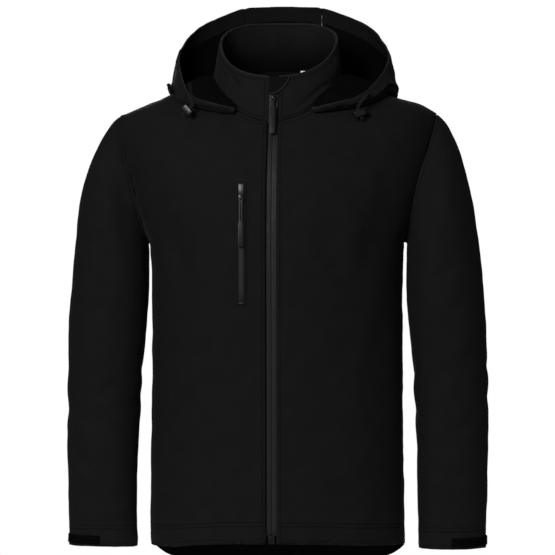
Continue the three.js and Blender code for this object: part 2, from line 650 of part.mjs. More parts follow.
add('hood_side_right', cutPiece(hood, middleEnd, hoodEnd, true, false), COLOUR.cloth);

// A mesh made in its own frame, set down with its up and out ways given
function place(mesh, origin, up, out) {
  const right = up.clone().cross(out).normalize();
  const trueUp = out.clone().cross(right).normalize();
  mesh.quaternion.setFromRotationMatrix(new THREE.Matrix4().makeBasis(right, trueUp, out.clone().normalize()));
  mesh.position.copy(origin);
}

function solidFrom(geometry) {
  const bare = geometry.clone();
  bare.deleteAttribute('normal');
  bare.deleteAttribute('uv');
  const merged = mergeVertices(bare, 1e-4);
  return new wasm.Manifold(new wasm.Mesh({
    numProp: 3,
    vertProperties: merged.attributes.position.array,
    triVerts: new Uint32Array(merged.index.array),
  }));
}

function geometryFrom(solid) {
  const mesh = solid.getMesh();
  const geometry = new THREE.BufferGeometry();
  geometry.setAttribute('position', new THREE.Float32BufferAttribute(mesh.vertProperties, mesh.numProp));
  geometry.setIndex(Array.from(mesh.triVerts));
  return geometry;
}

const extruded = (shape, thickness, segments = 3) =>
  new THREE.ExtrudeGeometry(shape, { depth: thickness, bevelEnabled: false, curveSegments: segments });

// An outline with round corners, in a shape or a hole of one
function roundedBox(path, half, bottom, top, radius) {
  path.moveTo(-half + radius, bottom);
  path.lineTo(half - radius, bottom);
  path.absarc(half - radius, bottom + radius, radius, -Math.PI / 2, 0, false);
  path.lineTo(half, top - radius);
  path.absarc(half - radius, top - radius, radius, 0, Math.PI / 2, false);
  path.lineTo(-half + radius, top);
  path.absarc(-half + radius, top - radius, radius, Math.PI / 2, Math.PI, false);
  path.lineTo(-half, bottom + radius);
  path.absarc(-half + radius, bottom + radius, radius, Math.PI, Math.PI * 1.5, false);
  return path;
}

// The two tapes of the front zip run from the box up into the collar
function zipTape() {
  const columns = (width) => [SEAM_GAP / 2, width];
  const rows = [];
  const normals = [];
  for (let r = 0; r < TAPE.rows; r += 1) {
    const z = mix(TAPE.bottomZ, TAPE.neckZ, r / (TAPE.rows - 1));
    rows.push(columns(TAPE.wide).map((x) => formPoint(x, z, -1)));
    normals.push(columns(TAPE.wide).map((x) => formNormal(x, z, -1).setX(0).normalize()));
  }
  for (let r = 0; r < COLLAR_ROWS; r += 1) {
    const edge = collar.outer[r][0];
    rows.push(columns(TAPE.narrow).map((x) => at(x, edge.y, edge.z)));
    normals.push(columns(TAPE.narrow).map(() => collar.normals[r][0].clone()));
  }
  const outer = inwards(rows, normals, TAPE.behind);
  return { outer, inner: inwards(outer, normals, TAPE.thickness) };
}

const tape = zipTape();
add('zip_tape_left', wallGeometry(tape.outer, tape.inner, false), COLOUR.tape);
add('zip_tape_right', wallGeometry(mirrored(tape.outer), mirrored(tape.inner), false), COLOUR.tape);

// A point of the collar's front at a height, and the way out of it
function collarFront(x, z) {
  const side = collar.outer[0][0].x < Math.abs(x) && x > 0 ? 1 : 0;
  const heights = collar.outer.map((row) => row[0].z);
  let r = 0;
  while (r < COLLAR_ROWS - 1 && heights[r + 1] < z) r += 1;
  const h = (z - heights[r]) / (heights[r + 1] - heights[r]);
  const edge = collar.outer[r][0].clone().lerp(collar.outer[r + 1][0], h);
  const next = collar.outer[r][1].clone().lerp(collar.outer[r + 1][1], h);
  const up = collar.outer[r + 1][0].clone().sub(collar.outer[r][0]).normalize();
  const along = side * (x - edge.x) / (next.x - edge.x);
  const point = at(x, mix(edge.y, next.y, along), mix(edge.z, next.z, along));
  return { point, up, out: at(0, -up.z, up.y) };
}

function chinGuard() {
  const columns = 5;
  const rows = 6;
  const outer = [];
  const inner = [];
  for (let r = 0; r <= rows; r += 1) {
    const h = r / rows;
    const z = mix(GUARD.bottomZ, GUARD.topZ, h);
    const rightX = mix(GUARD.bottomX, GUARD.topX, Math.sin((h * Math.PI) / 2) ** 0.8);
    const spots = Array.from({ length: columns }, (_, c) => mix(GUARD.leftX, rightX, c / (columns - 1)));
    const line = spots.map((x) => collarFront(x, z));
    inner.push(line.map(({ point, out }) => point.clone().addScaledVector(out, GUARD.lift)));
    outer.push(line.map(({ point, out }) => point.clone().addScaledVector(out, GUARD.lift + GUARD.thickness)));
  }
  return wallGeometry(outer, inner, false);
}

add('chin_guard', chinGuard(), COLOUR.cloth);

const boxHalf = ZIP_BOX.height / 2;
const boxShape = roundedBox(new THREE.Shape(), ZIP_BOX.width / 2, -boxHalf, boxHalf, ZIP_BOX.round);
const zipBox = add('zip_box', extruded(boxShape, ZIP_BOX.depth), COLOUR.plastic, 0.45);
place(zipBox, at(0, formY(0, ZIP_BOX.z, -1) + ZIP_BOX.sunk, ZIP_BOX.z), at(0, 0, 1), at(0, -1, 0));

// A slider: a plate with a bridge over it that carries the pull
function sliderGeometry(scale) {
  const plateShape = new THREE.Shape();
  roundedBox(plateShape, SLIDER.halfWidth, -SLIDER.halfHeight, SLIDER.halfHeight, SLIDER_ROUND.plate);
  const plate = extruded(plateShape, SLIDER.plate);
  const reach = SLIDER.opening + SLIDER.wall;
  const top = SLIDER.plate + 2 * SLIDER.opening;
  const side = roundedBox(new THREE.Shape(), reach, SLIDER.plate / 2, top + SLIDER.wall, SLIDER_ROUND.bridge);
  side.holes.push(roundedBox(new THREE.Path(), SLIDER.opening, SLIDER.plate, top, SLIDER_ROUND.opening));
  const bridge = extruded(side, SLIDER.bridgeWidth);
  bridge.translate(0, 0, -SLIDER.bridgeWidth / 2);
  const turn = new THREE.Matrix4().makeBasis(at(0, 1, 0), at(0, 0, 1), at(1, 0, 0));
  bridge.applyMatrix4(turn);
  const joined = geometryFrom(solidFrom(plate).add(solidFrom(bridge)));
  return joined.scale(scale, scale, scale);
}

// A flat pull: a ring round the slider's bridge, a neck and a grip; its hinge is at its own origin
function pullGeometry(size, slotted) {
  const { ring, neck, grip, ringEnd, gripStart, end } = size;
  const top = PULL_BAR.above;
  const ringRound = PULL_ROUND.ring;
  const endRound = PULL_ROUND.end;
  const shape = new THREE.Shape();
  shape.moveTo(-ring, top - ringRound);
  shape.absarc(-ring + ringRound, top - ringRound, ringRound, Math.PI, Math.PI / 2, true);
  shape.absarc(ring - ringRound, top - ringRound, ringRound, Math.PI / 2, 0, true);
  shape.lineTo(ring, -ringEnd + PULL_ROUND.shoulder);
  shape.lineTo(neck, -ringEnd - 1);
  shape.lineTo(neck, -gripStart + 1);
  shape.lineTo(grip, -gripStart - endRound);
  shape.absarc(grip - endRound, -end + endRound, endRound, 0, -Math.PI / 2, true);
  shape.absarc(-grip + endRound, -end + endRound, endRound, -Math.PI / 2, -Math.PI, true);
  shape.lineTo(-grip, -gripStart - endRound);
  shape.lineTo(-neck, -gripStart + 1);
  shape.lineTo(-neck, -ringEnd - 1);
  shape.lineTo(-ring, -ringEnd + PULL_ROUND.shoulder);
  shape.holes.push(roundedBox(new THREE.Path(), size.hole, -size.holeEnd, -PULL_BAR.below, PULL_ROUND.hole));
  if (slotted) {
    const slot = roundedBox(new THREE.Path(), neck / 4, -gripStart + endRound, -ringEnd - endRound, PULL_ROUND.slot);
    shape.holes.push(slot);
  }
  const geometry = extruded(shape, PULL_THICKNESS);
  return geometry.translate(0, 0, -PULL_THICKNESS / 2);
}

// A slider and its pull on a surface point; the pull hangs down, leaning out by its tilt
function addZipHead(names, surface, size, pullSize, tilt, slotted) {
  const { point, up, out } = surface;
  const slider = add(names.slider, sliderGeometry(size.scale), COLOUR.plastic, 0.4);
  const base = point.clone().addScaledVector(out, size.off);
  place(slider, base, up, out);
  const hinge = base.clone().addScaledVector(out, (SLIDER.plate + SLIDER.opening) * size.scale);
  const pull = add(names.pull, pullGeometry(pullSize, slotted), COLOUR.plastic, 0.5);
  const lean = radians(tilt);
  place(pull, hinge, at(0, Math.sin(lean), Math.cos(lean)), at(0, -Math.cos(lean), Math.sin(lean)));
}

const zipNames = { slider: 'zip_slider', pull: 'zip_pull' };
addZipHead(zipNames, collarFront(0, ZIP_SLIDER.z), ZIP_SLIDER, ZIP_PULL, PULL_TILT.zip, false);

// A strip that lies on the front panel, made from the panel's points
function frontStrip(x0, x1, z0, z1, lift, thickness, rows) {
  const outer = [];
  const inner = [];
  for (let r = 0; r <= rows; r += 1) {
    const z = mix(z0, z1, r / rows);
    const line = [x0, x1].map((x) => ({ point: formPoint(x, z, -1), out: formNormal(x, z, -1) }));
    inner.push(line.map(({ point, out }) => point.clone().addScaledVector(out, lift)));
    outer.push(line.map(({ point, out }) => point.clone().addScaledVector(out, lift + thickness)));
  }
  return wallGeometry(outer, inner, false);
}

const { x: pocketX, topZ, bottomZ, half: pocketHalf, welt, tapeHalf, garage, stop } = POCKET;

function pocketStrip(name, fromX, toX, fromZ, toZ, thickness, rows, colour) {
  add(name, frontStrip(pocketX + fromX, pocketX + toX, fromZ, toZ, POCKET_THICK.lift, thickness, rows), colour);
}

const tapeBottom = bottomZ + stop + SEAM_GAP;
const tapeTop = topZ - garage - SEAM_GAP;
const weltThick = POCKET_THICK.welt;
pocketStrip('pocket_welt_outer', -pocketHalf, -pocketHalf + welt, bottomZ, topZ, weltThick, POCKET_ROWS, COLOUR.cloth);
pocketStrip('pocket_welt_inner', pocketHalf - welt, pocketHalf, bottomZ, topZ, weltThick, POCKET_ROWS, COLOUR.cloth);
pocketStrip('pocket_garage', -tapeHalf, tapeHalf, topZ - garage, topZ, POCKET_THICK.garage, 2, COLOUR.plastic);
pocketStrip('pocket_stop', -tapeHalf, tapeHalf, bottomZ, bottomZ + stop, POCKET_THICK.stop, 1, COLOUR.plastic);
pocketStrip('pocket_tape', -tapeHalf, tapeHalf, tapeBottom, tapeTop, POCKET_THICK.tape, POCKET_ROWS, COLOUR.tape);
const pocketOut = formNormal(pocketX, POCKET_SLIDER.z, -1).setX(0).normalize();
addZipHead(
  { slider: 'pocket_slider', pull: 'pocket_pull' },
  { point: formPoint(pocketX, POCKET_SLIDER.z, -1), up: at(0, pocketOut.z, -pocketOut.y), out: pocketOut },
  POCKET_SLIDER, POCKET_PULL, PULL_TILT.pocket, true,
);

// A strap round the cuff, made from the sleeve's last two rings
function cuffStrap() {
  const count = sleeveLeft.outer[0].length;
  const last = sleeveLeft.outer.length - 1;
  const places = [];
  for (let spot = STRAP.from; spot < STRAP.to; spot += 1) places.push(spot);
  places.push(STRAP.to);
  const along = (row, spot) => {
    const first = Math.floor(spot);
    return row[first % count].clone().lerp(row[(first + 1) % count], spot - first);
  };
  const rows = [STRAP.highShare, STRAP.lowShare].map((share) => places.map((spot) => {
    const point = along(sleeveLeft.outer[last - 1], spot).lerp(along(sleeveLeft.outer[last], spot), share);
    const out = along(sleeveLeft.normals[last], spot).normalize();
    return { point, out };
  }));
  const raised = (row, amount) => row.map(({ point, out }) => point.clone().addScaledVector(out, amount));
  const lifted = (amount) => rows.map((row) => raised(row, amount));
  return { outer: lifted(STRAP.lift + STRAP.thickness), inner: lifted(STRAP.lift) };
}

const strap = cuffStrap();
add('cuff_strap_left', wallGeometry(strap.outer, strap.inner, false), COLOUR.inside, 0.95);
add('cuff_strap_right', wallGeometry(mirrored(strap.outer), mirrored(strap.inner), false), COLOUR.inside, 0.95);

// Eyelets in the hood's rim, a third of the way back
for (const { name } of LOCKS) {
  const columnCount = hood.outer[0].length;
  const columnAt = name === 'left' ? EYELET.column : columnCount - 1 - EYELET.column;
  const profile = [
    [EYELET.inner, 0], [EYELET.outer, 0], [EYELET.outer - EYELET.bevel, EYELET.thickness],
    [EYELET.inner, EYELET.thickness], [EYELET.inner, 0],
  ].map(([r, h]) => new THREE.Vector2(r, h));
  const ring = new THREE.LatheGeometry(profile, EYELET.sides).rotateX(Math.PI / 2);
  const eyelet = add(`eyelet_${name}`, ring, COLOUR.plastic, 0.4);
  const out = hood.normals[EYELET.row][columnAt];
  const seat = hood.outer[EYELET.row][columnAt].clone().addScaledVector(out, EYELET.lift);
  place(eyelet, seat, at(0, 0, 1).addScaledVector(out, -out.z).normalize(), out);
}

// Cord locks: a rounded bar with a slot through it for two strands of cord
function lockGeometry() {
  const outline = roundedBox(new THREE.Shape(), LOCK.length / 2, -LOCK.depth / 2, LOCK.depth / 2, LOCK.round);
  const slot = roundedBox(new THREE.Path(), LOCK.slotHalf, -LOCK.slotHeight, LOCK.slotHeight, LOCK.slotRound);
  outline.holes.push(slot);
  const bar = extruded(outline, LOCK.height, 4);
  bar.translate(0, 0, -LOCK.height / 2);
  return bar.rotateX(-Math.PI / 2);
}

for (const { name, x, y, z, turn } of LOCKS) {
  const lock = add(`cord_lock_${name}`, lockGeometry(), COLOUR.plastic, 0.35);
  const out = formNormal(x, z, -1).setZ(0).normalize();
  const level = at(Math.cos(radians(turn)), 0, Math.sin(radians(turn)));
  const long = level.addScaledVector(out, -level.dot(out)).normalize();
  place(lock, at(x, y, z), out.clone().cross(long), out);
}

// A round cord through its points
function cordGeometry(points) {
  const path = new THREE.CatmullRomCurve3(points.map(([x, y, z]) => at(x, y, z)), false, 'centripetal');
  const ring = Array.from({ length: CORD.sides }, (_, i) => {
    const turn = (2 * Math.PI * i) / CORD.sides;
    return new THREE.Vector2(CORD.radius * Math.cos(turn), CORD.radius * Math.sin(turn));
  });
  const options = { extrudePath: path, steps: CORD.steps, bevelEnabled: false };
  return new THREE.ExtrudeGeometry(new THREE.Shape(ring), options);
}

for (const { name, points } of CORDS) add(name, cordGeometry(points), COLOUR.cloth, 0.8);

// The blank label inside the back of the neck
function neckLabel() {
  const first = LABEL.column;
  const low = collar.inner[0];
  const high = collar.inner[1];
  const top = [LABEL.to, LABEL.from].map((share) => {
    const a = low[first].clone().lerp(low[first + 1], 1 - share);
    const b = high[first].clone().lerp(high[first + 1], 1 - share);
    return a.lerp(b, (LABEL.topZ - a.z) / (b.z - a.z));
  });
  const inwardsWay = collar.normals[1][first].clone().setZ(0).normalize().negate();
  const moved = (point, amount) => point.clone().addScaledVector(inwardsWay, amount);
  const lifted = (amount, drop) => top.map((point) => moved(point, amount).setZ(point.z - drop));
  const face = (amount) => [lifted(amount, LABEL.length), lifted(amount, 0)];
  return wallGeometry(face(LABEL.lift), face(LABEL.lift + LABEL.thickness), false);
}

add('neck_label', neckLabel(), COLOUR.label, 0.7);

export default group;
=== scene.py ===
"""Dresses the hooded softshell jacket: cloth shells, sewing, zips, small hardware and the studio."""

import enum
import logging
import math
from dataclasses import dataclass, field
from typing import Any, Iterable, Sequence

import bmesh
import bpy
import numpy as np
from mathutils import Matrix, Vector
from mathutils.bvhtree import BVHTree
from mathutils.kdtree import KDTree


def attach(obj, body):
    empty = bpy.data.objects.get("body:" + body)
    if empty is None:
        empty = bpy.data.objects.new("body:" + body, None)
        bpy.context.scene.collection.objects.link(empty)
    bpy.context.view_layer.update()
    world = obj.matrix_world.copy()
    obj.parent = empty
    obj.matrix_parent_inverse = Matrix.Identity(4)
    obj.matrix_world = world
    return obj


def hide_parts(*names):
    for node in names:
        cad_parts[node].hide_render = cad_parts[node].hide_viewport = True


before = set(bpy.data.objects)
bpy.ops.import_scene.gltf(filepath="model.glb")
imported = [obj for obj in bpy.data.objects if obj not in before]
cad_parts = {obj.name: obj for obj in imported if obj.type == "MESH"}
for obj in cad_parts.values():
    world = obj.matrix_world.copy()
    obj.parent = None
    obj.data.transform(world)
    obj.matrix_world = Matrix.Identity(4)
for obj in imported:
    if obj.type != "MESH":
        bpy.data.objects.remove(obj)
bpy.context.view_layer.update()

LOG = logging.getLogger("jacket")
MM = 0.001
BODY = "body"

# Distances from a panel's edge, in millimetres
TURNED_HEM = 23.0
TOPSTITCH = 6.2
HEM_ROWS = (27.0, 33.0)
STITCH_ROWS = (("seam", TOPSTITCH), ("hem", HEM_ROWS[0]), ("hem", HEM_ROWS[1]))
FAR_AWAY = 99.0
SAME_POINT = 1e-5

# Steps along a run of an edge, in millimetres
RUN_STEP = 2.0
FINE_STEP = 1.0

# A rolled edge: the step between its points in millimetres, and how often they are evened out
ROLL_STEP = 3.0
ROLL_PASSES = 3
ROLL_RESOLUTION = 2

# Soft waves: how many cross one another, and how their lengths vary
WAVE_COUNT = 8
WAVE_SPREAD = (0.7, 1.4)

Colour = tuple[float, float, float]
Point = tuple[float, float, float]
Socket = bpy.types.NodeSocket


class Side(enum.Enum):
    """The wearer's side that a piece is on, as the sign of X."""

    LEFT = 1
    RIGHT = -1

    @property
    def word(self) -> str:
        """The side's name in lower case."""
        return self.name.lower()

    def at(self, point: Point) -> Point:
        """A point given for the left, on this side."""
        return (self.value * point[0], point[1], point[2])

    def stretch(self, start: Point, end: Point, via: Point) -> "Stretch":
        """A run of an edge given for the left, on this side."""
        return Stretch(self.at(start), self.at(end), self.at(via))


class View(enum.Enum):
    """The way a crease faces, with the two axes that its points are read in."""

    FRONT = ((0, -1, 0), (0, 2))
    BACK = ((0, 1, 0), (0, 2))
    LEFT = ((1, 0, 0), (1, 2))
    RIGHT = ((-1, 0, 0), (1, 2))


class Wall(enum.IntEnum):
    """The parts of a closed cloth wall, as material indices."""

    OUTER = 0
    INNER = 1
    EDGE = 2


# Finishes


class Shader:
    """A material's node tree, with short ways to add nodes to it."""

    NOISE_RANGE = (0.3, 0.7)

    def __init__(self, name: str) -> None:
        """Starts a material.

        Args:
            name: The material's name.
        """
        self.material = bpy.data.materials.new(name)
        self.material.use_nodes = True
        self.tree = self.material.node_tree
        self.surface = self.tree.nodes["Principled BSDF"]
        self.coords = self.tree.nodes.new("ShaderNodeTexCoord").outputs["Object"]

    def node(self, kind: str, **inputs: object) -> bpy.types.Node:
        """Adds a node and sets or links its inputs.

        Args:
            kind: The node's type.
            inputs: Values or sockets by input name, with underscores for spaces.

        Returns:
            The new node.
        """
        made = self.tree.nodes.new(kind)
        for name, value in inputs.items():
            socket = made.inputs[name.replace("_", " ")]
            if isinstance(value, Socket):
                self.tree.links.new(value, socket)
            else:
                socket.default_value = value
        return made

    def noise(self, size: float, detail: float = 2.0) -> Socket:
        """Adds a noise whose grains are about a given size.

        Args:
            size: The grains' size in metres.
            detail: How many finer layers it has.

        Returns:
            The noise's value socket.
        """
        made = self.node("ShaderNodeTexNoise", Vector=self.coords, Scale=1 / size, Detail=detail)
        return made.outputs["Fac"]

    def remap(self, value: Socket, start: float, end: float, low: float = 0.0, high: float = 1.0) -> Socket:
        """Maps a range of a value to another range, and holds it there.

        Args:
            value: The value's socket.
            start: The value that becomes low.
            end: The value that becomes high.
            low: What start becomes.
            high: What end becomes.

        Returns:
            The mapped value's socket.
        """
        ends = {"From_Min": start, "From_Max": end, "To_Min": low, "To_Max": high}
        return self.node("ShaderNodeMapRange", Value=value, **ends).outputs["Result"]

    def spread(self, noise: Socket, low: float, high: float) -> Socket:
        """Maps a noise's middle range to two values."""
        return self.remap(noise, *self.NOISE_RANGE, low, high)

    def attribute(self, name: str) -> Socket:
        """Reads a number that each vertex keeps.

        Args:
            name: The attribute's name.

        Returns:
            Its socket.
        """
        made = self.tree.nodes.new("ShaderNodeAttribute")
        made.attribute_name = name
        return made.outputs["Fac"]

    def math(self, operation: str, first: Socket, second: object = None) -> Socket:
        """Works out a value from one or two others.

        Args:
            operation: The kind of sum.
            first: The first value's socket.
            second: The second value or its socket.

        Returns:
            The result's socket.
        """
        made = self.tree.nodes.new("ShaderNodeMath")
        made.operation = operation
        self.tree.links.new(first, made.inputs[0])
        if isinstance(second, Socket):
            self.tree.links.new(second, made.inputs[1])
        elif second is not None:
            made.inputs[1].default_value = second
        return made.outputs[0]

    def mix(self, value: Socket, first: object, second: object) -> Socket:
        """Mixes two colours.

        Args:
            value: What mixes them.
            first: The colour at 0, or its socket.
            second: The colour at 1, or its socket.

        Returns:
            The mixed colour's socket.
        """
        made = self.tree.nodes.new("ShaderNodeMix")
        made.data_type = "RGBA"
        sockets = [socket for socket in made.inputs if socket.enabled]
        for socket, given in zip(sockets, (value, first, second)):
            if isinstance(given, Socket):
                self.tree.links.new(given, socket)
            else:
                socket.default_value = given
        return next(socket for socket in made.outputs if socket.enabled)

    def scale_colour(self, colour: Socket, share: Socket) -> Socket:
        """Makes a colour darker or lighter.

        Args:
            colour: The colour's socket.
            share: What it is multiplied by.

        Returns:
            The new colour's socket.
        """
        made = self.tree.nodes.new("ShaderNodeVectorMath")
        made.operation = "SCALE"
        self.tree.links.new(colour, made.inputs[0])
        self.tree.links.new(share, made.inputs["Scale"])
        return made.outputs[0]

    def tint(self, value: Socket, dark: Colour, light: Colour) -> Socket:
        """Colours the surface between two colours.

        Args:
            value: What mixes them.
            dark: The colour at 0.
            light: The colour at 1.

        Returns:
            The mixed colour's socket.
        """
        result = self.mix(value, (*dark, 1), (*light, 1))
        self.tree.links.new(result, self.surface.inputs["Base Color"])
        return result

    def bump(self, heights: Sequence[tuple[Socket, float]]) -> None:
        """Stacks bumps on the surface.

        Args:
            heights: Each height's socket and its depth in metres.
        """
        normal = None
        for height, depth in heights:
            made = self.node("ShaderNodeBump", Height=height, Strength=1.0, Distance=depth)
            if normal is not None:
                self.tree.links.new(normal, made.inputs["Normal"])
            normal = made.outputs["Normal"]
        self.tree.links.new(normal, self.surface.inputs["Normal"])

    def set(self, **values: object) -> None:
        """Sets constants on the surface's own sockets, by name with underscores for spaces."""
        for name, value in values.items():
            self.surface.inputs[name.replace("_", " ")].default_value = value


def scaled(colour: Colour, factor: float) -> Colour:
    """A colour times a number."""
    return tuple(channel * factor for channel in colour)


@dataclass(frozen=True)
class ClothFinish:
    """A matt woven face, faintly mottled, with a fine grain."""

    name: str
    colour: Colour
    mottle: float = 0.11
    patch: float = 0.025
    grain: float = 0.0007
    grain_depth: float = 0.00012
    roughness: float = 0.8
    sheen: float = 0.12
    specular: float = 0.22
    # Painted shade: a high and a low height in millimetres and a share; the colour darkens from the one
    # down to the other, to that share.
    deep: tuple[float, float, float] | None = None
    turned: Colour | None = None
    hem_blur: float = 0.5
    stitched: bool = False
    groove: tuple[float, float] = (0.3, 1.5)
    # How far the painted shade in the stitch dips darkens the colour
    groove_shade: float = 0.72
    groove_depth: float = 0.0005
    patch_depth: float = 0.00015
    speckle: float = 0.004
    speckle_depth: float = 0.0003
    speckle_share: float = 0.6
    uneven: float = 0.05
    sheen_roughness: float = 0.45

    def stitch_groove(self, shader: Shader, name: str, row: float) -> Socket:
        """Finds the dip that a row of stitches pulls into the cloth.

        Args:
            shader: The material's nodes.
            name: The attribute that tells how far the edge is, in millimetres.
            row: How far in the row lies.

        Returns:
            1 in the cloth, down to 0 in the row.
        """
        far = shader.attribute(name)
        away = shader.math("ABSOLUTE", shader.math("SUBTRACT", far, row))
        return shader.remap(away, *self.groove)

    def build(self) -> bpy.types.Material:
        """Makes the material.

        Where deep is set, painted shade darkens the colour from one height down to another, to a
        share. Where turned is set, a turned hem shows that colour. Where stitched is set, dips follow the
        rows of stitches, and painted shade darkens the colour in them.

        Returns:
            The material.
        """
        shader = Shader(self.name)
        patches = shader.noise(self.patch, detail=4.0)
        fine = shader.noise(self.grain, detail=1.0)
        speckle = shader.noise(self.speckle, detail=3.0)
        specks = shader.spread(speckle, -self.speckle_share, self.speckle_share)
        blend = shader.math("ADD", specks, shader.spread(patches, 0.0, 1.0))
        dark, light = scaled(self.colour, 1 - self.mottle), scaled(self.colour, 1 + self.mottle)
        mixed = shader.tint(blend, dark, light)
        bumps = [(patches, self.patch_depth), (speckle, self.speckle_depth), (fine, self.grain_depth)]
        if self.turned:
            inside, outside = TURNED_HEM - self.hem_blur, TURNED_HEM + self.hem_blur
            hem = shader.remap(shader.attribute("turned"), outside, inside)
            mixed = shader.mix(hem, mixed, (*self.turned, 1))
        if self.stitched:
            grooves = [self.stitch_groove(shader, *row) for row in STITCH_ROWS]
            groove = grooves[0]
            for other in grooves[1:]:
                groove = shader.math("MINIMUM", groove, other)
            bumps.append((groove, self.groove_depth))
            # Painted shade: the colour darkens in the stitch dips.
            mixed = shader.scale_colour(mixed, shader.remap(groove, 0.0, 1.0, self.groove_shade, 1.0))
        # Painted shade: the colour darkens towards the bottom, from the high height down to the low one.
        if self.deep:
            high, low, share = self.deep
            height = shader.node("ShaderNodeSeparateXYZ", Vector=shader.coords).outputs["Z"]
            depth = shader.remap(height, low * MM, high * MM, share, 1.0)
            depth.node.interpolation_type = "SMOOTHSTEP"
            mixed = shader.scale_colour(mixed, depth)
        shader.tree.links.new(mixed, shader.surface.inputs["Base Color"])
        rough = shader.spread(speckle, self.roughness - self.uneven, self.roughness + self.uneven)
        shader.tree.links.new(rough, shader.surface.inputs["Roughness"])
        shader.bump(bumps)
        shader.set(
            Specular_IOR_Level=self.specular, Sheen_Weight=self.sheen, Sheen_Roughness=self.sheen_roughness
        )
        return shader.material


@dataclass(frozen=True)
class RibbedFinish:
    """A woven or coated tape, cord or webbing with fine ribs across it."""

    name: str
    colour: Colour
    rib: float
    rib_depth: float
    roughness: float
    specular: float
    mottle: float = 0.2
    patch: float = 0.01
    grain: float = 0.0006
    grain_depth: float = 0.00004
    uneven: float = 0.06

    def build(self) -> bpy.types.Material:
        """Makes the material.

        Returns:
            The material.
        """
        shader = Shader(self.name)
        wave = shader.node("ShaderNodeTexWave", Vector=shader.coords, Scale=1 / (self.rib * math.pi))
        wave.bands_direction = "Z"
        patches = shader.noise(self.patch, detail=3.0)
        shader.tint(patches, scaled(self.colour, 1 - self.mottle), scaled(self.colour, 1 + self.mottle))
        rough = shader.spread(patches, self.roughness - self.uneven, self.roughness + self.uneven)
        shader.tree.links.new(rough, shader.surface.inputs["Roughness"])
        shader.bump([(wave.outputs["Fac"], self.rib_depth), (shader.noise(self.grain), self.grain_depth)])
        shader.set(Specular_IOR_Level=self.specular)
        return shader.material


@dataclass(frozen=True)
class MouldedFinish:
    """Moulded plastic, satin, its tone and roughness a little uneven."""

    name: str
    colour: Colour
    roughness: float
    specular: float
    shades: tuple[float, float] = (0.85, 1.2)
    patch: float = 0.003
    smoother: float = 0.07
    rougher: float = 0.08
    grain: float = 0.0005
    grain_depth: float = 0.00003

    def build(self) -> bpy.types.Material:
        """Makes the material.

        Returns:
            The material.
        """
        shader = Shader(self.name)
        patches = shader.noise(self.patch, detail=3.0)
        shader.tint(patches, *(scaled(self.colour, shade) for shade in self.shades))
        rough = shader.spread(patches, self.roughness - self.smoother, self.roughness + self.rougher)
        shader.tree.links.new(rough, shader.surface.inputs["Roughness"])
        shader.bump([(shader.noise(self.grain), self.grain_depth)])
        shader.set(Specular_IOR_Level=self.specular)
        return shader.material


OUTSIDE = ClothFinish("cloth_outside", (0.0060, 0.0061, 0.0064), sheen=0.02, specular=0.07, stitched=True)
LINING = ClothFinish("cloth_lining", (0.0048, 0.0048, 0.0050), grain=0.0012, sheen=0.0, specular=0.02)
# Painted shade: the hood's inside is coloured far darker than the outside cloth to stand for the shade deep
# in the hood; its turned facing along the rim keeps the outside colour.
HOOD_INSIDE_PAINTED_SHADE = ClothFinish(
    "cloth_hood_inside", (0.0016, 0.0016, 0.0017), grain=0.0012, sheen=0.0, specular=0.03,
    turned=OUTSIDE.colour,
)
# Painted shade: the collar's inside is lighter than the outside cloth at the top and darkens towards the
# bottom, down to a tenth, as shade falls inside the neck.
COLLAR_INSIDE_PAINTED_SHADE = ClothFinish(
    "cloth_collar_inside", (0.0088, 0.0088, 0.0090), sheen=0.02, specular=0.03, deep=(86, 14, 0.1)
)
STRAP_CLOTH = RibbedFinish(
    "strap_webbing", (0.0012, 0.0012, 0.0013), rib=0.0016, rib_depth=0.00012, roughness=0.85, specular=0.03
)
# The rims are real rolls of cloth; their colour, lighter than the outside cloth, is a painted highlight
# along them.
ROLLED_EDGE_PAINTED_HIGHLIGHT = ClothFinish(
    "cloth_rolled_edge", (0.0078, 0.0079, 0.0082), sheen=0.05, specular=0.14, roughness=0.7
)
COATED_TAPE = RibbedFinish(
    "coated_zip_tape", (0.0082, 0.0083, 0.0086), rib=0.0005, rib_depth=0.00003, roughness=0.5, specular=0.15
)
CORD_BRAID = RibbedFinish(
    "cord_braid", (0.007, 0.0072, 0.0076), rib=0.0011, rib_depth=0.00016, roughness=0.62, specular=0.2
)
SEWING_THREAD = RibbedFinish(
    "sewing_thread", (0.0030, 0.0030, 0.0032), rib=0.0006, rib_depth=0.00005, roughness=0.6, specular=0.1
)
MOULDED = MouldedFinish("moulded_black", (0.0026, 0.0027, 0.0029), roughness=0.3, specular=0.2)
SOFT_MOULDED = MouldedFinish(
    "moulded_soft_black", (0.005, 0.0051, 0.0054), roughness=0.42, specular=0.18
)
LABEL_WEAVE = RibbedFinish(
    "label_weave", (0.86, 0.86, 0.84), rib=0.0007, rib_depth=0.00005, roughness=0.7, specular=0.3
)


class Wardrobe:
    """Builds each finish once and hands out its material."""

    def __init__(self) -> None:
        """Starts with nothing built."""
        self.made: dict[str, bpy.types.Material] = {}

    def get(self, finish: ClothFinish | RibbedFinish | MouldedFinish) -> bpy.types.Material:
        """Hands out a finish's material.

        Args:
            finish: The finish.

        Returns:
            Its material, made on the first call.
        """
        if finish.name not in self.made:
            self.made[finish.name] = finish.build()
        return self.made[finish.name]


WARDROBE = Wardrobe()


# Drape: how the cloth departs from the plain form


def smooth(value: np.ndarray, low: float, high: float) -> np.ndarray:
    """Finds a smooth step from 0 to 1.

    Args:
        value: Where the step is read.
        low: Where it starts.
        high: Where it ends.

    Returns:
        The step's height at each value.
    """
    share = np.clip((value - low) / (high - low), 0, 1)
    return share * share * (3 - 2 * share)


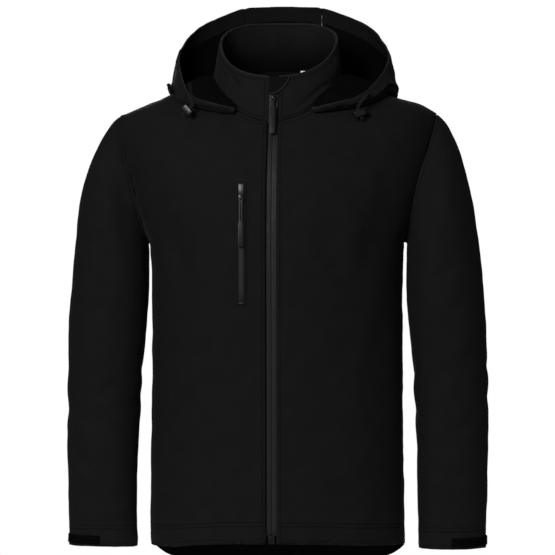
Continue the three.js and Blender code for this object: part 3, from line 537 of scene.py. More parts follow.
@dataclass(frozen=True)
class Crease:
    """A soft trough with a lower ridge beside it, along points in millimetres as its view sees them."""

    RIDGE_SPOT = 1.5
    RIDGE_SPREAD = 1.3
    END_SOFTNESS = 0.8
    END_SHARE = 0.05
    FACING = (0.02, 0.3)

    view: View
    points: tuple[tuple[float, float], ...]
    width: float
    depth: float
    ridge: float = 0.55

    def press(self, where: np.ndarray, ways: np.ndarray) -> np.ndarray:
        """How far the cloth moves out, in millimetres.

        Args:
            where: Points of the cloth, in millimetres.
            ways: The cloth's outward unit vectors there.

        Returns:
            One signed distance for each point.
        """
        facing, axes = self.view.value
        flat = where[:, axes]
        line = np.array(self.points, float)
        spans = np.linalg.norm(np.diff(line, axis=0), axis=1)
        total = spans.sum()
        best = np.full(len(where), np.inf)
        across = np.zeros(len(where))
        along = np.zeros(len(where))
        passed = 0.0
        for start, end, span in zip(line[:-1], line[1:], spans):
            way = (end - start) / span
            offset = flat - start
            run = np.clip(offset @ way, 0, span)
            away = offset - run[:, None] * way
            far = np.linalg.norm(away, axis=1)
            nearer = far < best
            best = np.where(nearer, far, best)
            turn = np.sign(offset[:, 0] * way[1] - offset[:, 1] * way[0])
            across = np.where(nearer, far * turn, across)
            along = np.where(nearer, (passed + run) / total, along)
            passed += span
        spot = across / self.width
        beside = np.exp(-((spot - self.RIDGE_SPOT) ** 2) / self.RIDGE_SPREAD)
        shape = -np.exp(-spot**2) + self.ridge * beside
        stage = np.clip(along * (1 - 2 * self.END_SHARE) + self.END_SHARE, 0, 1)
        ends = np.sin(math.pi * stage) ** self.END_SOFTNESS
        faces = smooth(ways @ np.array(facing, float), *self.FACING)
        return self.depth * shape * ends * faces


def undulation(where: np.ndarray, wavelength: float, seed: int) -> np.ndarray:
    """Soft uneven waves through space.

    Args:
        where: Points in millimetres.
        wavelength: Their usual length in millimetres.
        seed: Picks their directions.

    Returns:
        About -1 to 1 for each point.
    """
    dice = np.random.default_rng(seed)
    ways = dice.normal(size=(WAVE_COUNT, 3))
    ways /= np.linalg.norm(ways, axis=1)[:, None]
    lengths = wavelength * dice.uniform(*WAVE_SPREAD, WAVE_COUNT)
    phases = dice.uniform(0, 2 * math.pi, WAVE_COUNT)
    waves = np.sin(2 * math.pi * (where @ ways.T) / lengths + phases)
    return waves.sum(axis=1) / math.sqrt(WAVE_COUNT * 2)


def outside_box(where: np.ndarray, low: Point, high: Point) -> np.ndarray:
    """Finds how far points are outside a box.

    Args:
        where: The points.
        low: The box's low corner.
        high: Its high corner.

    Returns:
        Their distances, which are 0 inside.
    """
    outside = np.maximum(np.array(low) - where, where - np.array(high))
    return np.linalg.norm(np.clip(outside, 0, None), axis=1)


@dataclass(frozen=True)
class Calm:
    """A box, in millimetres, where the cloth keeps to its plain form because something stiff sits on it."""

    low: Point
    high: Point
    fade: float = 14.0
    sinks: bool = False

    def settle(self, where: np.ndarray, lift: np.ndarray) -> np.ndarray:
        """Takes the lift away inside the box, and less of it across the fade round it.

        Args:
            where: Points of the cloth, in millimetres.
            lift: How far each one moves out. Where the box sinks, what moves in is kept.

        Returns:
            The lift that is left.
        """
        held = lift * smooth(outside_box(where, self.low, self.high), 0, self.fade)
        return np.minimum(lift, held) if self.sinks else held


@dataclass(frozen=True)
class Drape:
    """All that shapes one kind of cloth: creases, soft waves, puckers along its seams, and calm places."""

    PUCKER_LENGTH = 17.0
    PUCKER_SEED = 11
    PUCKER_FADE = 11.0
    VALLEY_WIDTH = 2.6

    creases: tuple[Crease, ...] = ()
    waves: tuple[tuple[float, float, int], ...] = ((95.0, 1.1, 3), (38.0, 0.45, 5))
    pucker: float = 0.55
    valley: float = 0.5
    calm: tuple[Calm, ...] = ()

    def lift(self, where: np.ndarray, ways: np.ndarray, seam: np.ndarray) -> np.ndarray:
        """How far each point moves out, in millimetres.

        Args:
            where: Points of the cloth, in millimetres.
            ways: The outward unit vectors there.
            seam: How far each point is from the nearest edge of its panel.

        Returns:
            One signed distance for each point.
        """
        total = np.zeros(len(where))
        for crease in self.creases:
            total += crease.press(where, ways)
        for wavelength, height, seed in self.waves:
            total += height * undulation(where, wavelength, seed)
        puckers = undulation(where, self.PUCKER_LENGTH, self.PUCKER_SEED)
        total += self.pucker * puckers * np.exp(-seam / self.PUCKER_FADE)
        for calm in self.calm:
            total = calm.settle(where, total)
        return total - self.valley * np.exp(-((seam / self.VALLEY_WIDTH) ** 2))


@dataclass(frozen=True)
class Bulge:
    """A soft push of all the cloth round a point, as seen from the front, for the worn outline."""

    centre: tuple[float, float]
    radius: float
    push: tuple[float, float]

    def move(self, where: np.ndarray) -> np.ndarray:
        """Works out the push.

        Args:
            where: Points of the cloth, in millimetres.

        Returns:
            The push at each point, in millimetres.
        """
        away = where[:, (0, 2)] - np.array(self.centre)
        share = np.exp(-(away**2).sum(axis=1) / self.radius**2)
        return share[:, None] * np.array((self.push[0], 0, self.push[1]))


@dataclass(frozen=True)
class Ease:
    """A box, in millimetres, where a tight fold is rounded by easing points towards their neighbours."""

    low: Point
    high: Point
    fade: float = 12.0
    passes: int = 16
    pace: float = 0.5

    def relax(self, mesh: bpy.types.Mesh, where: np.ndarray) -> np.ndarray:
        """Rounds the fold.

        Args:
            mesh: The mesh, for which points are neighbours.
            where: Its points in metres.

        Returns:
            The eased points.
        """
        pairs = np.empty(len(mesh.edges) * 2, dtype=np.int64)
        mesh.edges.foreach_get("vertices", pairs)
        first, second = pairs.reshape(-1, 2).T
        count = np.bincount(pairs, minlength=len(where))[:, None]
        outside = outside_box(where / MM, self.low, self.high)
        share = self.pace * (1 - smooth(outside, 0, self.fade))[:, None]
        for _ in range(self.passes):
            total = np.zeros_like(where)
            np.add.at(total, first, where[second])
            np.add.at(total, second, where[first])
            where = where + share * (total / count - where)
        return where


def both_sides(
    centre: tuple[float, float], radius: float, push: tuple[float, float]
) -> tuple[Bulge, Bulge]:
    """The same bulge on the wearer's left and right."""
    mirrored = Bulge((-centre[0], centre[1]), radius, (-push[0], push[1]))
    return Bulge(centre, radius, push), mirrored


# Pushes: centre, radius and how far, across and up, in millimetres
FIT = (
    *both_sides((64, 116), 34, (3, 6.5)),
    *both_sides((112, 90), 38, (5, 5)),
    *both_sides((152, 52), 38, (6, 2.5)),
    *both_sides((178, 20), 26, (5, 0)),
    *both_sides((192, -16), 22, (-5.5, 0)),
    Bulge((-304, -190), 90, (-5.5, 0)),
    Bulge((-312, -340), 80, (-2.5, 0)),
    Bulge((222, -42), 46, (2.5, 4)),
    Bulge((-165, -745), 40, (-2, -5)),
    Bulge((-232, -735), 30, (3.5, 0)),
)
# Creases: the way each faces, its points, width, depth and sometimes its ridge, in millimetres
FRONT_FOLDS = (
    Crease(View.FRONT, ((-62, -58), (-65, -72), (-67, -88)), 5, 2.4),
    Crease(View.FRONT, ((-178, -205), (-150, -262), (-138, -330)), 17, 2.6),
    Crease(View.FRONT, ((-190, -300), (-168, -372), (-160, -452)), 15, 2.0),
    Crease(View.FRONT, ((-120, -452), (-86, -478), (-40, -486)), 13, 1.3),
    Crease(View.FRONT, ((-184, -560), (-140, -592), (-96, -600)), 15, 1.7),
    Crease(View.FRONT, ((-150, -690), (-104, -668), (-60, -662)), 10, 1.2),
    Crease(View.FRONT, ((176, -196), (152, -258), (142, -322)), 18, 2.8),
    Crease(View.FRONT, ((188, -318), (166, -396), (158, -470)), 15, 2.2),
    Crease(View.FRONT, ((60, -246), (98, -282), (118, -330)), 16, 1.3),
    Crease(View.FRONT, ((44, -496), (92, -514), (134, -548)), 14, 1.4),
    Crease(View.FRONT, ((180, -604), (140, -630), (94, -640)), 13, 1.6),
    Crease(View.FRONT, ((128, -118), (160, -150), (186, -196)), 13, 1.4),
    Crease(View.FRONT, ((-122, -120), (-158, -148), (-186, -192)), 13, 1.1),
)
BACK_FOLDS = (
    Crease(View.BACK, ((-186, -196), (-140, -250), (-112, -330)), 18, 2.6),
    Crease(View.BACK, ((184, -190), (144, -244), (120, -318)), 17, 2.4),
    Crease(View.BACK, ((-150, -420), (-60, -452), (30, -446)), 16, 2.2),
    Crease(View.BACK, ((160, -470), (80, -500), (-20, -492)), 15, 2.0),
    Crease(View.BACK, ((-170, -560), (-110, -590), (-30, -586)), 15, 1.7),
    Crease(View.BACK, ((60, -220), (40, -290), (48, -360)), 19, 1.6),
    Crease(View.BACK, ((-46, -236), (-30, -300), (-42, -380)), 18, 1.4),
    Crease(View.BACK, ((140, -640), (70, -664), (10, -660)), 13, 1.3),
)
SLEEVE_FOLDS = (
    Crease(View.FRONT, ((-326, -560), (-304, -604), (-262, -640)), 9, 2.4),
    Crease(View.FRONT, ((-322, -508), (-296, -540), (-258, -566)), 10, 1.9),
    Crease(View.FRONT, ((-312, -640), (-276, -668), (-244, -678)), 9, 1.6),
    Crease(View.FRONT, ((-236, -470), (-266, -498), (-300, -504)), 10, 1.6),
    Crease(View.FRONT, ((-250, -150), (-232, -218), (-224, -286)), 13, 2.6),
    Crease(View.FRONT, ((-300, -300), (-270, -330), (-236, -344)), 13, 1.5),
    Crease(View.FRONT, ((238, -128), (256, -118), (272, -106)), 8, 1.8),
    Crease(View.FRONT, ((250, -156), (234, -222), (226, -290)), 13, 2.8),
    Crease(View.FRONT, ((316, -420), (286, -452), (246, -468)), 12, 1.8),
    Crease(View.FRONT, ((322, -520), (290, -548), (252, -560)), 10, 1.9),
    Crease(View.FRONT, ((236, -604), (268, -622), (310, -618)), 10, 1.6),
    Crease(View.FRONT, ((300, -240), (280, -286), (254, -322)), 14, 1.4),
    Crease(View.BACK, ((-230, -250), (-268, -300), (-300, -318)), 14, 2.4),
    Crease(View.BACK, ((-240, -440), (-276, -470), (-318, -474)), 13, 2.4),
    Crease(View.BACK, ((-236, -500), (-280, -520), (-322, -530)), 12, 2.0),
    Crease(View.BACK, ((232, -246), (266, -304), (300, -330)), 14, 2.6),
    Crease(View.BACK, ((240, -450), (280, -476), (318, -480)), 13, 2.2),
    Crease(View.BACK, ((240, -520), (276, -544), (322, -548)), 12, 1.8),
    Crease(View.LEFT, ((-40, -430), (0, -462), (30, -470)), 13, 2.0),
    Crease(View.LEFT, ((-46, -520), (-8, -500), (26, -508)), 12, 1.8),
    Crease(View.RIGHT, ((-42, -446), (-4, -474), (28, -476)), 13, 2.0),
    Crease(View.RIGHT, ((-48, -540), (-10, -520), (24, -530)), 12, 1.8),
)
COLLAR_FOLDS = (
    Crease(View.FRONT, ((-79, 22), (-78, 8), (-74, -13)), 1.9, 3.8, 0.3),
    Crease(View.FRONT, ((-74, 11), (-64, -2), (-50, -20)), 1.9, 3.8, 0.3),
    Crease(View.FRONT, ((-86, -14), (-84, -34), (-72, -52)), 4, 1.6, 0.6),
    Crease(View.FRONT, ((48, -44), (68, -26), (88, -10)), 4, 3.4, 0.7),
    Crease(View.FRONT, ((66, -44), (82, -26), (99, -2)), 4, 3.0, 0.7),
    Crease(View.FRONT, ((34, -56), (48, -46), (66, -40)), 4, 1.4),
    Crease(View.LEFT, ((-20, -10), (20, 26)), 9, 1.2),
    Crease(View.RIGHT, ((-24, 6), (16, 34)), 9, 1.2),
    Crease(View.BACK, ((-50, 40), (10, 58)), 9, 1.0),
)
HOOD_FOLDS = (
    Crease(View.FRONT, ((-150, 34), (-128, 62), (-112, 84)), 6, 2.6),
    Crease(View.FRONT, ((-134, 30), (-116, 58), (-104, 82)), 5, 2.2),
    Crease(View.FRONT, ((-116, 38), (-102, 60), (-94, 80)), 5, 2.0),
    Crease(View.FRONT, ((132, 30), (120, 58), (104, 80)), 6, 1.8),
    Crease(View.FRONT, ((-132, -34), (-104, -60), (-70, -68)), 6, 1.6),
    Crease(View.FRONT, ((128, -30), (104, -58), (72, -70)), 6, 1.6),
    Crease(View.BACK, ((-120, -70), (-60, -40), (-20, 10)), 15, 3.0),
    Crease(View.BACK, ((124, -60), (70, -20), (30, 30)), 15, 2.8),
    Crease(View.BACK, ((-96, 60), (-70, 10), (-66, -50)), 13, 2.4),
    Crease(View.BACK, ((90, 70), (78, 10), (60, -60)), 13, 2.2),
    Crease(View.BACK, ((-30, -120), (0, -80), (26, -116)), 12, 2.0),
    Crease(View.LEFT, ((-50, -20), (0, 0), (70, 30)), 12, 2.2),
    Crease(View.LEFT, ((20, -50), (60, -40), (110, 0)), 13, 2.6),
    Crease(View.RIGHT, ((-50, -24), (0, -6), (60, 24)), 12, 2.2),
    Crease(View.RIGHT, ((24, -56), (64, -40), (112, 6)), 13, 2.6),
)
ZIP_CALM = Calm((-13, -200, -900), (13, -60, 100), 16)
POCKET_CALM = Calm((-57, -200, -364), (-35, -100, -166), 14)
HOOD_CALM = Calm((-190, -160, -84), (190, 160, 60), 30, sinks=True)
TORSO_DRAPE = Drape(FRONT_FOLDS + BACK_FOLDS, calm=(ZIP_CALM, POCKET_CALM, HOOD_CALM))
SLEEVE_DRAPE = Drape(SLEEVE_FOLDS, waves=((80.0, 0.8, 13), (34.0, 0.4, 15)))
COLLAR_DRAPE = Drape(COLLAR_FOLDS, waves=((60.0, 0.5, 23), (24.0, 0.25, 25)), calm=(ZIP_CALM,))
HOOD_DRAPE = Drape(HOOD_FOLDS, waves=((70.0, 0.9, 33), (28.0, 0.35, 35)), pucker=0.7)
STILL = Drape(waves=(), pucker=0.0, valley=0.0)
RIGHT_FOLD = Ease((-200, -66, -60), (-130, 92, 14))


# Pieces


def finish_piece(
    piece: bpy.types.Object, body: str, nodes: Iterable[str] = ()
) -> bpy.types.Object:
    """Puts a piece on its body and what it stands for, and reports it.

    Args:
        piece: The piece, in place.
        body: The body it rides on.
        nodes: The nodes it stands for.

    Returns:
        The piece.
    """
    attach(piece, body)
    if nodes:
        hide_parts(*nodes)
    LOG.info("%s: %d faces", piece.name, len(piece.data.polygons) if piece.type == "MESH" else 0)
    return piece


def linked(name: str, data: bpy.types.ID) -> bpy.types.Object:
    """Makes an object at the origin and puts it in the scene.

    Args:
        name: The object's name.
        data: Its mesh, curve, camera or light.

    Returns:
        The object.
    """
    made = bpy.data.objects.new(name, data)
    bpy.context.scene.collection.objects.link(made)
    return made


def mesh_piece(
    name: str, bm: bmesh.types.BMesh, materials: Sequence[bpy.types.Material]
) -> bpy.types.Object:
    """Turns a bmesh into a smooth object at the origin.

    Args:
        name: The object's name.
        bm: Its mesh, in metres. It is freed.
        materials: Its materials.

    Returns:
        The new object.
    """
    mesh = bpy.data.meshes.new(name)
    bm.to_mesh(mesh)
    bm.free()
    mesh.shade_smooth()
    for material in materials:
        mesh.materials.append(material)
    return linked(name, mesh)


def merged_copy(node: str) -> bmesh.types.BMesh:
    """Copies a node's mesh and joins its loose triangles up.

    Args:
        node: The node's name.

    Returns:
        The copy.
    """
    bm = bmesh.new()
    bm.from_mesh(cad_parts[node].data)
    bmesh.ops.remove_doubles(bm, verts=bm.verts, dist=SAME_POINT)
    return bm


def applied(piece: bpy.types.Object) -> bpy.types.Mesh:
    """Works a piece's modifiers into its mesh and takes them off.

    Args:
        piece: The piece.

    Returns:
        Its new mesh.
    """
    graph = bpy.context.evaluated_depsgraph_get()
    mesh = bpy.data.meshes.new_from_object(piece.evaluated_get(graph))
    piece.modifiers.clear()
    piece.data = mesh
    return mesh


def round_edges(piece: bpy.types.Object, width: float, angle: float, segments: int = 2) -> None:
    """Adds a modifier that rounds a piece's sharp edges.

    Args:
        piece: The piece.
        width: How wide the rounding is, in millimetres.
        angle: How sharp an edge has to be, in degrees.
        segments: How many faces go across it.
    """
    rounded = piece.modifiers.new("rounded", "BEVEL")
    rounded.width = width * MM
    rounded.segments = segments
    rounded.limit_method = "ANGLE"
    rounded.angle_limit = math.radians(angle)


def tube(name: str, line: Sequence[Vector], radius: float, resolution: int) -> bpy.types.Curve:
    """Makes a round tube along a line.

    Args:
        name: Its name.
        line: Its middle line, in metres.
        radius: Its radius in millimetres.
        resolution: How finely its round is cut.

    Returns:
        The curve.
    """
    curve = bpy.data.curves.new(name, "CURVE")
    curve.dimensions = "3D"
    curve.bevel_depth = radius * MM
    curve.bevel_resolution = resolution
    curve.use_fill_caps = True
    spline = curve.splines.new("POLY")
    spline.points.add(len(line) - 1)
    for spot, point in zip(spline.points, line):
        spot.co = (*point, 1)
    return curve


def finder_of(points: Sequence[Sequence[float]]) -> KDTree:
    """Sorts points so that the nearest one is quickly found.

    Args:
        points: The points.

    Returns:
        The finder, which gives their places in the list.
    """
    finder = KDTree(len(points))
    for index, point in enumerate(points):
        finder.insert(point, index)
    finder.balance()
    return finder


def distances(where: Sequence[Sequence[float]], points: Sequence[Sequence[float]]) -> np.ndarray:
    """Finds how far each place is from the nearest of some points.

    Args:
        where: The places, in metres.
        points: The points, in metres.

    Returns:
        The distances in millimetres.
    """
    finder = finder_of(points)
    return np.array([finder.find(place)[2] for place in where]) / MM


@dataclass(frozen=True)
class Stretch:
    """A run of a panel's edge, from one corner to another by way of a third point, in millimetres."""

    start: Point
    end: Point
    via: Point


def chained(links: dict[Any, list[Any]]) -> list[list[Any]]:
    """Follows links from one end to the other.

    Args:
        links: What each item is joined to.

    Returns:
        Each chain's items in order. A closed chain isn't joined up.
    """
    chains = []
    unused = set(links)
    for start in sorted(links, key=lambda item: (len(links[item]), item)):
        if start not in unused:
            continue
        chain = [start]
        unused.discard(start)
        while following := [item for item in links[chain[-1]] if item in unused]:
            chain.append(following[0])
            unused.discard(following[0])
        chains.append(chain)
    return chains


@dataclass
class ClothShell:
    """One cloth piece on its node's form: a closed thin wall with creases, soft waves and seam puckers."""

    WIDENED = 5.0

    node: str
    drape: Drape
    flat: tuple[float, float]
    area: float
    slot: str = "cloth"
    outside: ClothFinish | RibbedFinish = OUTSIDE
    inside: ClothFinish | RibbedFinish = LINING
    held: str = "hung"
    levels: int = 3
    sharp: float = 65.0
    wall_share: float = 0.15
    sliver_share: float = 0.0
    ease: Ease | None = None
    widen: float = 0.0
    rim: float = 0.6
    rim_angle: float = 50.0
    least_border: int = 12
    walls: dict[Wall, BVHTree] = field(default_factory=dict, repr=False)
    faces: dict[Wall, list[tuple[int, ...]]] = field(default_factory=dict, repr=False)
    borders: list[list[Vector]] = field(default_factory=list, repr=False)
    piece: bpy.types.Object | None = field(default=None, repr=False)

    def split_walls(self, bm: bmesh.types.BMesh) -> None:
        """Marks the outer wall, the inner wall and the edges, and keeps the edges sharp.

        Args:
            bm: The merged copy of the node.
        """
        limit = math.radians(self.sharp)
        keep = bm.edges.layers.float.new("crease_edge")
        for edge in bm.edges:
            if edge.calc_face_angle(0) > limit:
                edge[keep] = 1.0
        groups = []
        seen = set()
        for start in bm.faces:
            if start in seen:
                continue
            group, waiting = [], [start]
            seen.add(start)
            while waiting:
                face = waiting.pop()
                group.append(face)
                for edge in face.edges:
                    for other in edge.link_faces:
                        if edge[keep] < 0.5 and other not in seen:
                            seen.add(other)
                            waiting.append(other)
            groups.append(group)
        middle = sum((vert.co for vert in bm.verts), Vector()) / len(bm.verts)
        if self.node.startswith(("front", "back", "collar", "hood")):
            middle.x = middle.y = 0

        def area(group: Iterable[bmesh.types.BMFace]) -> float:
            """The group's area."""
            return sum(face.calc_area() for face in group)

        def turned_out(faces: list[bmesh.types.BMFace]) -> float:
            """Finds how much of some faces looks away from the middle.

            Args:
                faces: The faces.

            Returns:
                More for faces that look outwards.
            """
            total = 0.0
            for face in faces:
                away = face.calc_center_median() - middle
                away.z = 0
                total += face.normal.dot(away) * face.calc_area()
            return total

        groups.sort(key=area, reverse=True)
        whole = area(bm.faces)
        first = groups[0]
        second = [face for group in groups[1:] if area(group) > self.wall_share * whole for face in group]
        outer, inner = (first, second) if turned_out(first) > turned_out(second) else (second, first)
        for wall, faces in ((Wall.EDGE, bm.faces), (Wall.OUTER, outer), (Wall.INNER, inner)):
            for face in faces:
                face.material_index = wall
        for group in groups:
            if area(group) < self.sliver_share * whole:
                self.join_neighbour(group)
        for edge in bm.edges:
            walls = {face.material_index for face in edge.link_faces}
            if walls in ({Wall.OUTER}, {Wall.INNER}):
                edge[keep] = 0.0

    @staticmethod
    def join_neighbour(sliver: list[bmesh.types.BMFace]) -> None:
        """Gives a sliver in a tight fold to the wall it shares its longest edges with.

        Args:
            sliver: Its faces.
        """
        shared = dict.fromkeys(Wall, 0.0)
        for face in sliver:
            for edge in face.edges:
                for other in edge.link_faces:
                    if other not in sliver:
                        shared[Wall(other.material_index)] += edge.calc_length()
        for face in sliver:
            face.material_index = max(shared, key=shared.get)

    def build(self) -> bpy.types.Object:
        """Returns:
            The piece.
        """
        bm = merged_copy(self.node)
        self.split_walls(bm)
        any_turn = math.pi
        bmesh.ops.join_triangles(
            bm, faces=bm.faces, angle_face_threshold=any_turn, angle_shape_threshold=any_turn,
            cmp_materials=True,
        )
        outside, inside = WARDROBE.get(self.outside), WARDROBE.get(self.inside)
        piece = mesh_piece(f"cloth_{self.node}", bm, [outside, inside, outside])
        finer = piece.modifiers.new("finer", "SUBSURF")
        finer.levels = finer.render_levels = self.levels
        round_edges(piece, self.rim, self.rim_angle)
        self.shape(applied(piece))
        self.piece = finish_piece(piece, BODY, [self.node])
        return piece

    def declare(self, *edging: bpy.types.Object) -> None:
        """Does nothing.

        Args:
            edging: Rolled edges that belong to the same cut. Not used.
        """

    @staticmethod
    def mark(mesh: bpy.types.Mesh, name: str, values: np.ndarray) -> None:
        """Keeps one number a vertex for the finishes to read.

        Args:
            mesh: The mesh.
            name: The attribute's name.
            values: The numbers.
        """
        if name not in mesh.attributes:
            mesh.attributes.new(name, "FLOAT", "POINT")
        mesh.attributes[name].data.foreach_set("value", values.astype(np.float32))

    def mark_run(
        self, name: str, line: Sequence[Vector], taper: tuple[float, float, float] = (0.0, 0.0, 1.0)
    ) -> None:
        """Marks how far each vertex is from a run of the edge, in millimetres.

        Args:
            name: The attribute's name.
            line: The run.
            taper: Millimetres to add at a low height, that height and the height where none is added.
        """
        more, low, high = taper
        places = [vert.co for vert in self.piece.data.vertices]
        heights = np.array([place.z for place in places]) / MM
        extra = more * np.clip((high - heights) / (high - low), 0, 1)
        self.mark(self.piece.data, name, distances(places, resampled(line, RUN_STEP * MM)) + extra)

    def rim_line(self, line: Sequence[Vector]) -> list[Vector]:
        """Finds the middle of the cloth's thickness along a run of its edge.

        Args:
            line: The run, in metres.

        Returns:
            The points, in metres.
        """
        inner = self.walls[Wall.INNER]
        return [(point + inner.find_nearest(point)[0]) / 2 for point in line]

    @property
    def edge(self) -> list[Vector]:
        """The longest border."""
        return max(self.borders, key=len)

    @property
    def hem(self) -> list[Vector]:
        """The lowest border."""
        return min(self.borders, key=lambda line: sum(point.z for point in line) / len(line))

    def shape(self, mesh: bpy.types.Mesh) -> None:
        """Drapes the mesh and keeps its walls and borders for sewing.

        Args:
            mesh: The piece's fine mesh.
        """
        count = len(mesh.vertices)
        where = np.empty(count * 3)
        mesh.vertices.foreach_get("co", where)
        where = where.reshape(-1, 3)
        if self.ease:
            where = self.ease.relax(mesh, where)
            mesh.vertices.foreach_set("co", where.ravel())
            mesh.update()
        outer = [face for face in mesh.polygons if face.material_index == Wall.OUTER]
        ways = np.zeros((count, 3))
        for face in outer:
            ways[list(face.vertices)] += np.array(face.normal) * face.area
        on_outer = np.linalg.norm(ways, axis=1) > 0
        ways[on_outer] /= np.linalg.norm(ways[on_outer], axis=1)[:, None]
        indices = np.flatnonzero(on_outer)
        finder = finder_of(where[indices])
        for index in np.flatnonzero(~on_outer):
            ways[index] = ways[indices[finder.find(where[index])[1]]]
        loops = [loop for loop in self.border_loops(mesh) if len(loop) >= self.least_border]
        seam = distances(where, [where[index] for loop in loops for index in loop])
        self.mark(mesh, "seam", seam)
        for name in ("turned", "hem"):
            self.mark(mesh, name, np.full(count, FAR_AWAY))
        moved = where + ways * (self.drape.lift(where / MM, ways, seam)[:, None] * MM)
        for bulge in FIT:
            moved += bulge.move(where / MM) * MM
        moved[:, 0] += np.sign(where[:, 0]) * np.exp(-seam / self.WIDENED) * self.widen * MM
        mesh.vertices.foreach_set("co", moved.ravel())
        mesh.update()
        self.borders = [[Vector(moved[index]) for index in loop] for loop in loops]
        points = [Vector(point) for point in moved]
        for wall in (Wall.OUTER, Wall.INNER):
            faces = [face for face in mesh.polygons if face.material_index == wall]
            self.faces[wall] = [tuple(face.vertices) for face in faces]
            self.walls[wall] = BVHTree.FromPolygons(points, self.faces[wall])

    @staticmethod
    def border_loops(mesh: bpy.types.Mesh) -> list[list[int]]:
        """Follows the outer wall's borders.

        Args:
            mesh: The mesh.

        Returns:
            Each border as vertex indices in order.
        """
        sides: dict[tuple[int, int], set[int]] = {}
        for face in mesh.polygons:
            for key in face.edge_keys:
                sides.setdefault(key, set()).add(face.material_index)
        links: dict[int, list[int]] = {}
        for (a, b), walls in sides.items():
            if Wall.OUTER in walls and len(walls) > 1:
                links.setdefault(a, []).append(b)
                links.setdefault(b, []).append(a)
        return chained(links)

    def contour(self, line: Sequence[Vector], inset: float, wall: Wall) -> list[list[Vector]]:
        """Finds the lines on a wall that keep one distance from a run of the edge.

        Args:
            line: The run.
            inset: The distance in millimetres.
            wall: The wall they lie on.

        Returns:
            The points of each line in order, in metres.
        """
        verts = self.piece.data.vertices
        far = distances([vert.co for vert in verts], resampled(line, FINE_STEP * MM)) - inset
        links: dict[tuple[int, int], list[tuple[int, int]]] = {}
        for face in self.faces[wall]:
            sides = [(min(pair), max(pair)) for pair in zip(face, face[1:] + face[:1])]
            crossed = [side for side in sides if far[side[0]] * far[side[1]] < 0]
            for first, second in zip(crossed[::2], crossed[1::2]):
                links.setdefault(first, []).append(second)
                links.setdefault(second, []).append(first)
        found = []
        for chain in chained(links):
            shares = [far[a] / (far[a] - far[b]) for a, b in chain]
            spots = zip(chain, shares)
            found.append([verts[a].co.lerp(verts[b].co, share) for (a, b), share in spots])
        return found

    def run(self, stretch: Stretch) -> list[Vector]:
        """The edge points from one corner to another by way of a third.

        Args:
            stretch: The corners.

        Returns:
            The points in order, in metres.
        """
        edge = self.edge
        count = len(edge)
        spots = [Vector(point) * MM for point in (stretch.start, stretch.end, stretch.via)]
        first, last, via = (min(range(count), key=lambda i: (edge[i] - spot).length) for spot in spots)
        forward = [(first + step) % count for step in range((last - first) % count + 1)]
        if via in forward:
            return [edge[i] for i in forward]
        return [edge[(first - step) % count] for step in range((first - last) % count + 1)]


def roll(name: str, line: Sequence[Vector], radius: float, finish: ClothFinish) -> bpy.types.Object:
    """Makes a round roll of cloth along a line.

    Args:
        name: The piece's name.
        line: Its middle line, in metres.
        radius: Its radius in millimetres.
        finish: Its finish.

    Returns:
        The piece.
    """
    points = resampled(line, ROLL_STEP * MM)
    for _ in range(ROLL_PASSES):
        inner = [(a + 2 * b + c) / 4 for a, b, c in zip(points[:-2], points[1:-1], points[2:])]
        points = [points[0], *inner, points[-1]]
    shape = linked(name, tube(name, points, radius, ROLL_RESOLUTION))
    graph = bpy.context.evaluated_depsgraph_get()
    mesh = bpy.data.meshes.new_from_object(shape.evaluated_get(graph))
    bpy.data.objects.remove(shape)
    mesh.name = name
    mesh.materials.clear()
    mesh.materials.append(WARDROBE.get(finish))
    mesh.shade_smooth()
    return finish_piece(linked(name, mesh), BODY)


# Sewing


def resampled(points: Sequence[Vector], step: float) -> list[Vector]:
    """Walks a line in even steps.

    Args:
        points: The line, in metres.
        step: How far apart the new points are, in metres.

    Returns:
        The new points.
    """
    found = [points[0].copy()]
    left = step
    for start, end in zip(points[:-1], points[1:]):
        span = (end - start).length
        while span > 0 and left <= span:
            found.append(start.lerp(end, left / span))
            left += step
        left -= span
    return found


class Stitch:
    """One stitch as a small long bead, copied wherever a row needs it."""

    AROUND = 6
    ALONG = 4

    def __init__(self) -> None:
        """Makes the bead once, a unit in radius."""
        bm = bmesh.new()
        bmesh.ops.create_uvsphere(bm, u_segments=self.AROUND, v_segments=self.ALONG, radius=1)
        self.mesh = bpy.data.meshes.new("stitch")
        bm.to_mesh(self.mesh)
        bm.free()
        self.round = [vert.co.copy() for vert in self.mesh.vertices]

    def add(self, bm: bmesh.types.BMesh, place: Matrix) -> None:
        """Adds the bead to a mesh.

        Args:
            bm: The mesh.
            place: The bead's place, turn and size.
        """
        for vert, unit in zip(self.mesh.vertices, self.round):
            vert.co = place @ unit
        bm.from_mesh(self.mesh)


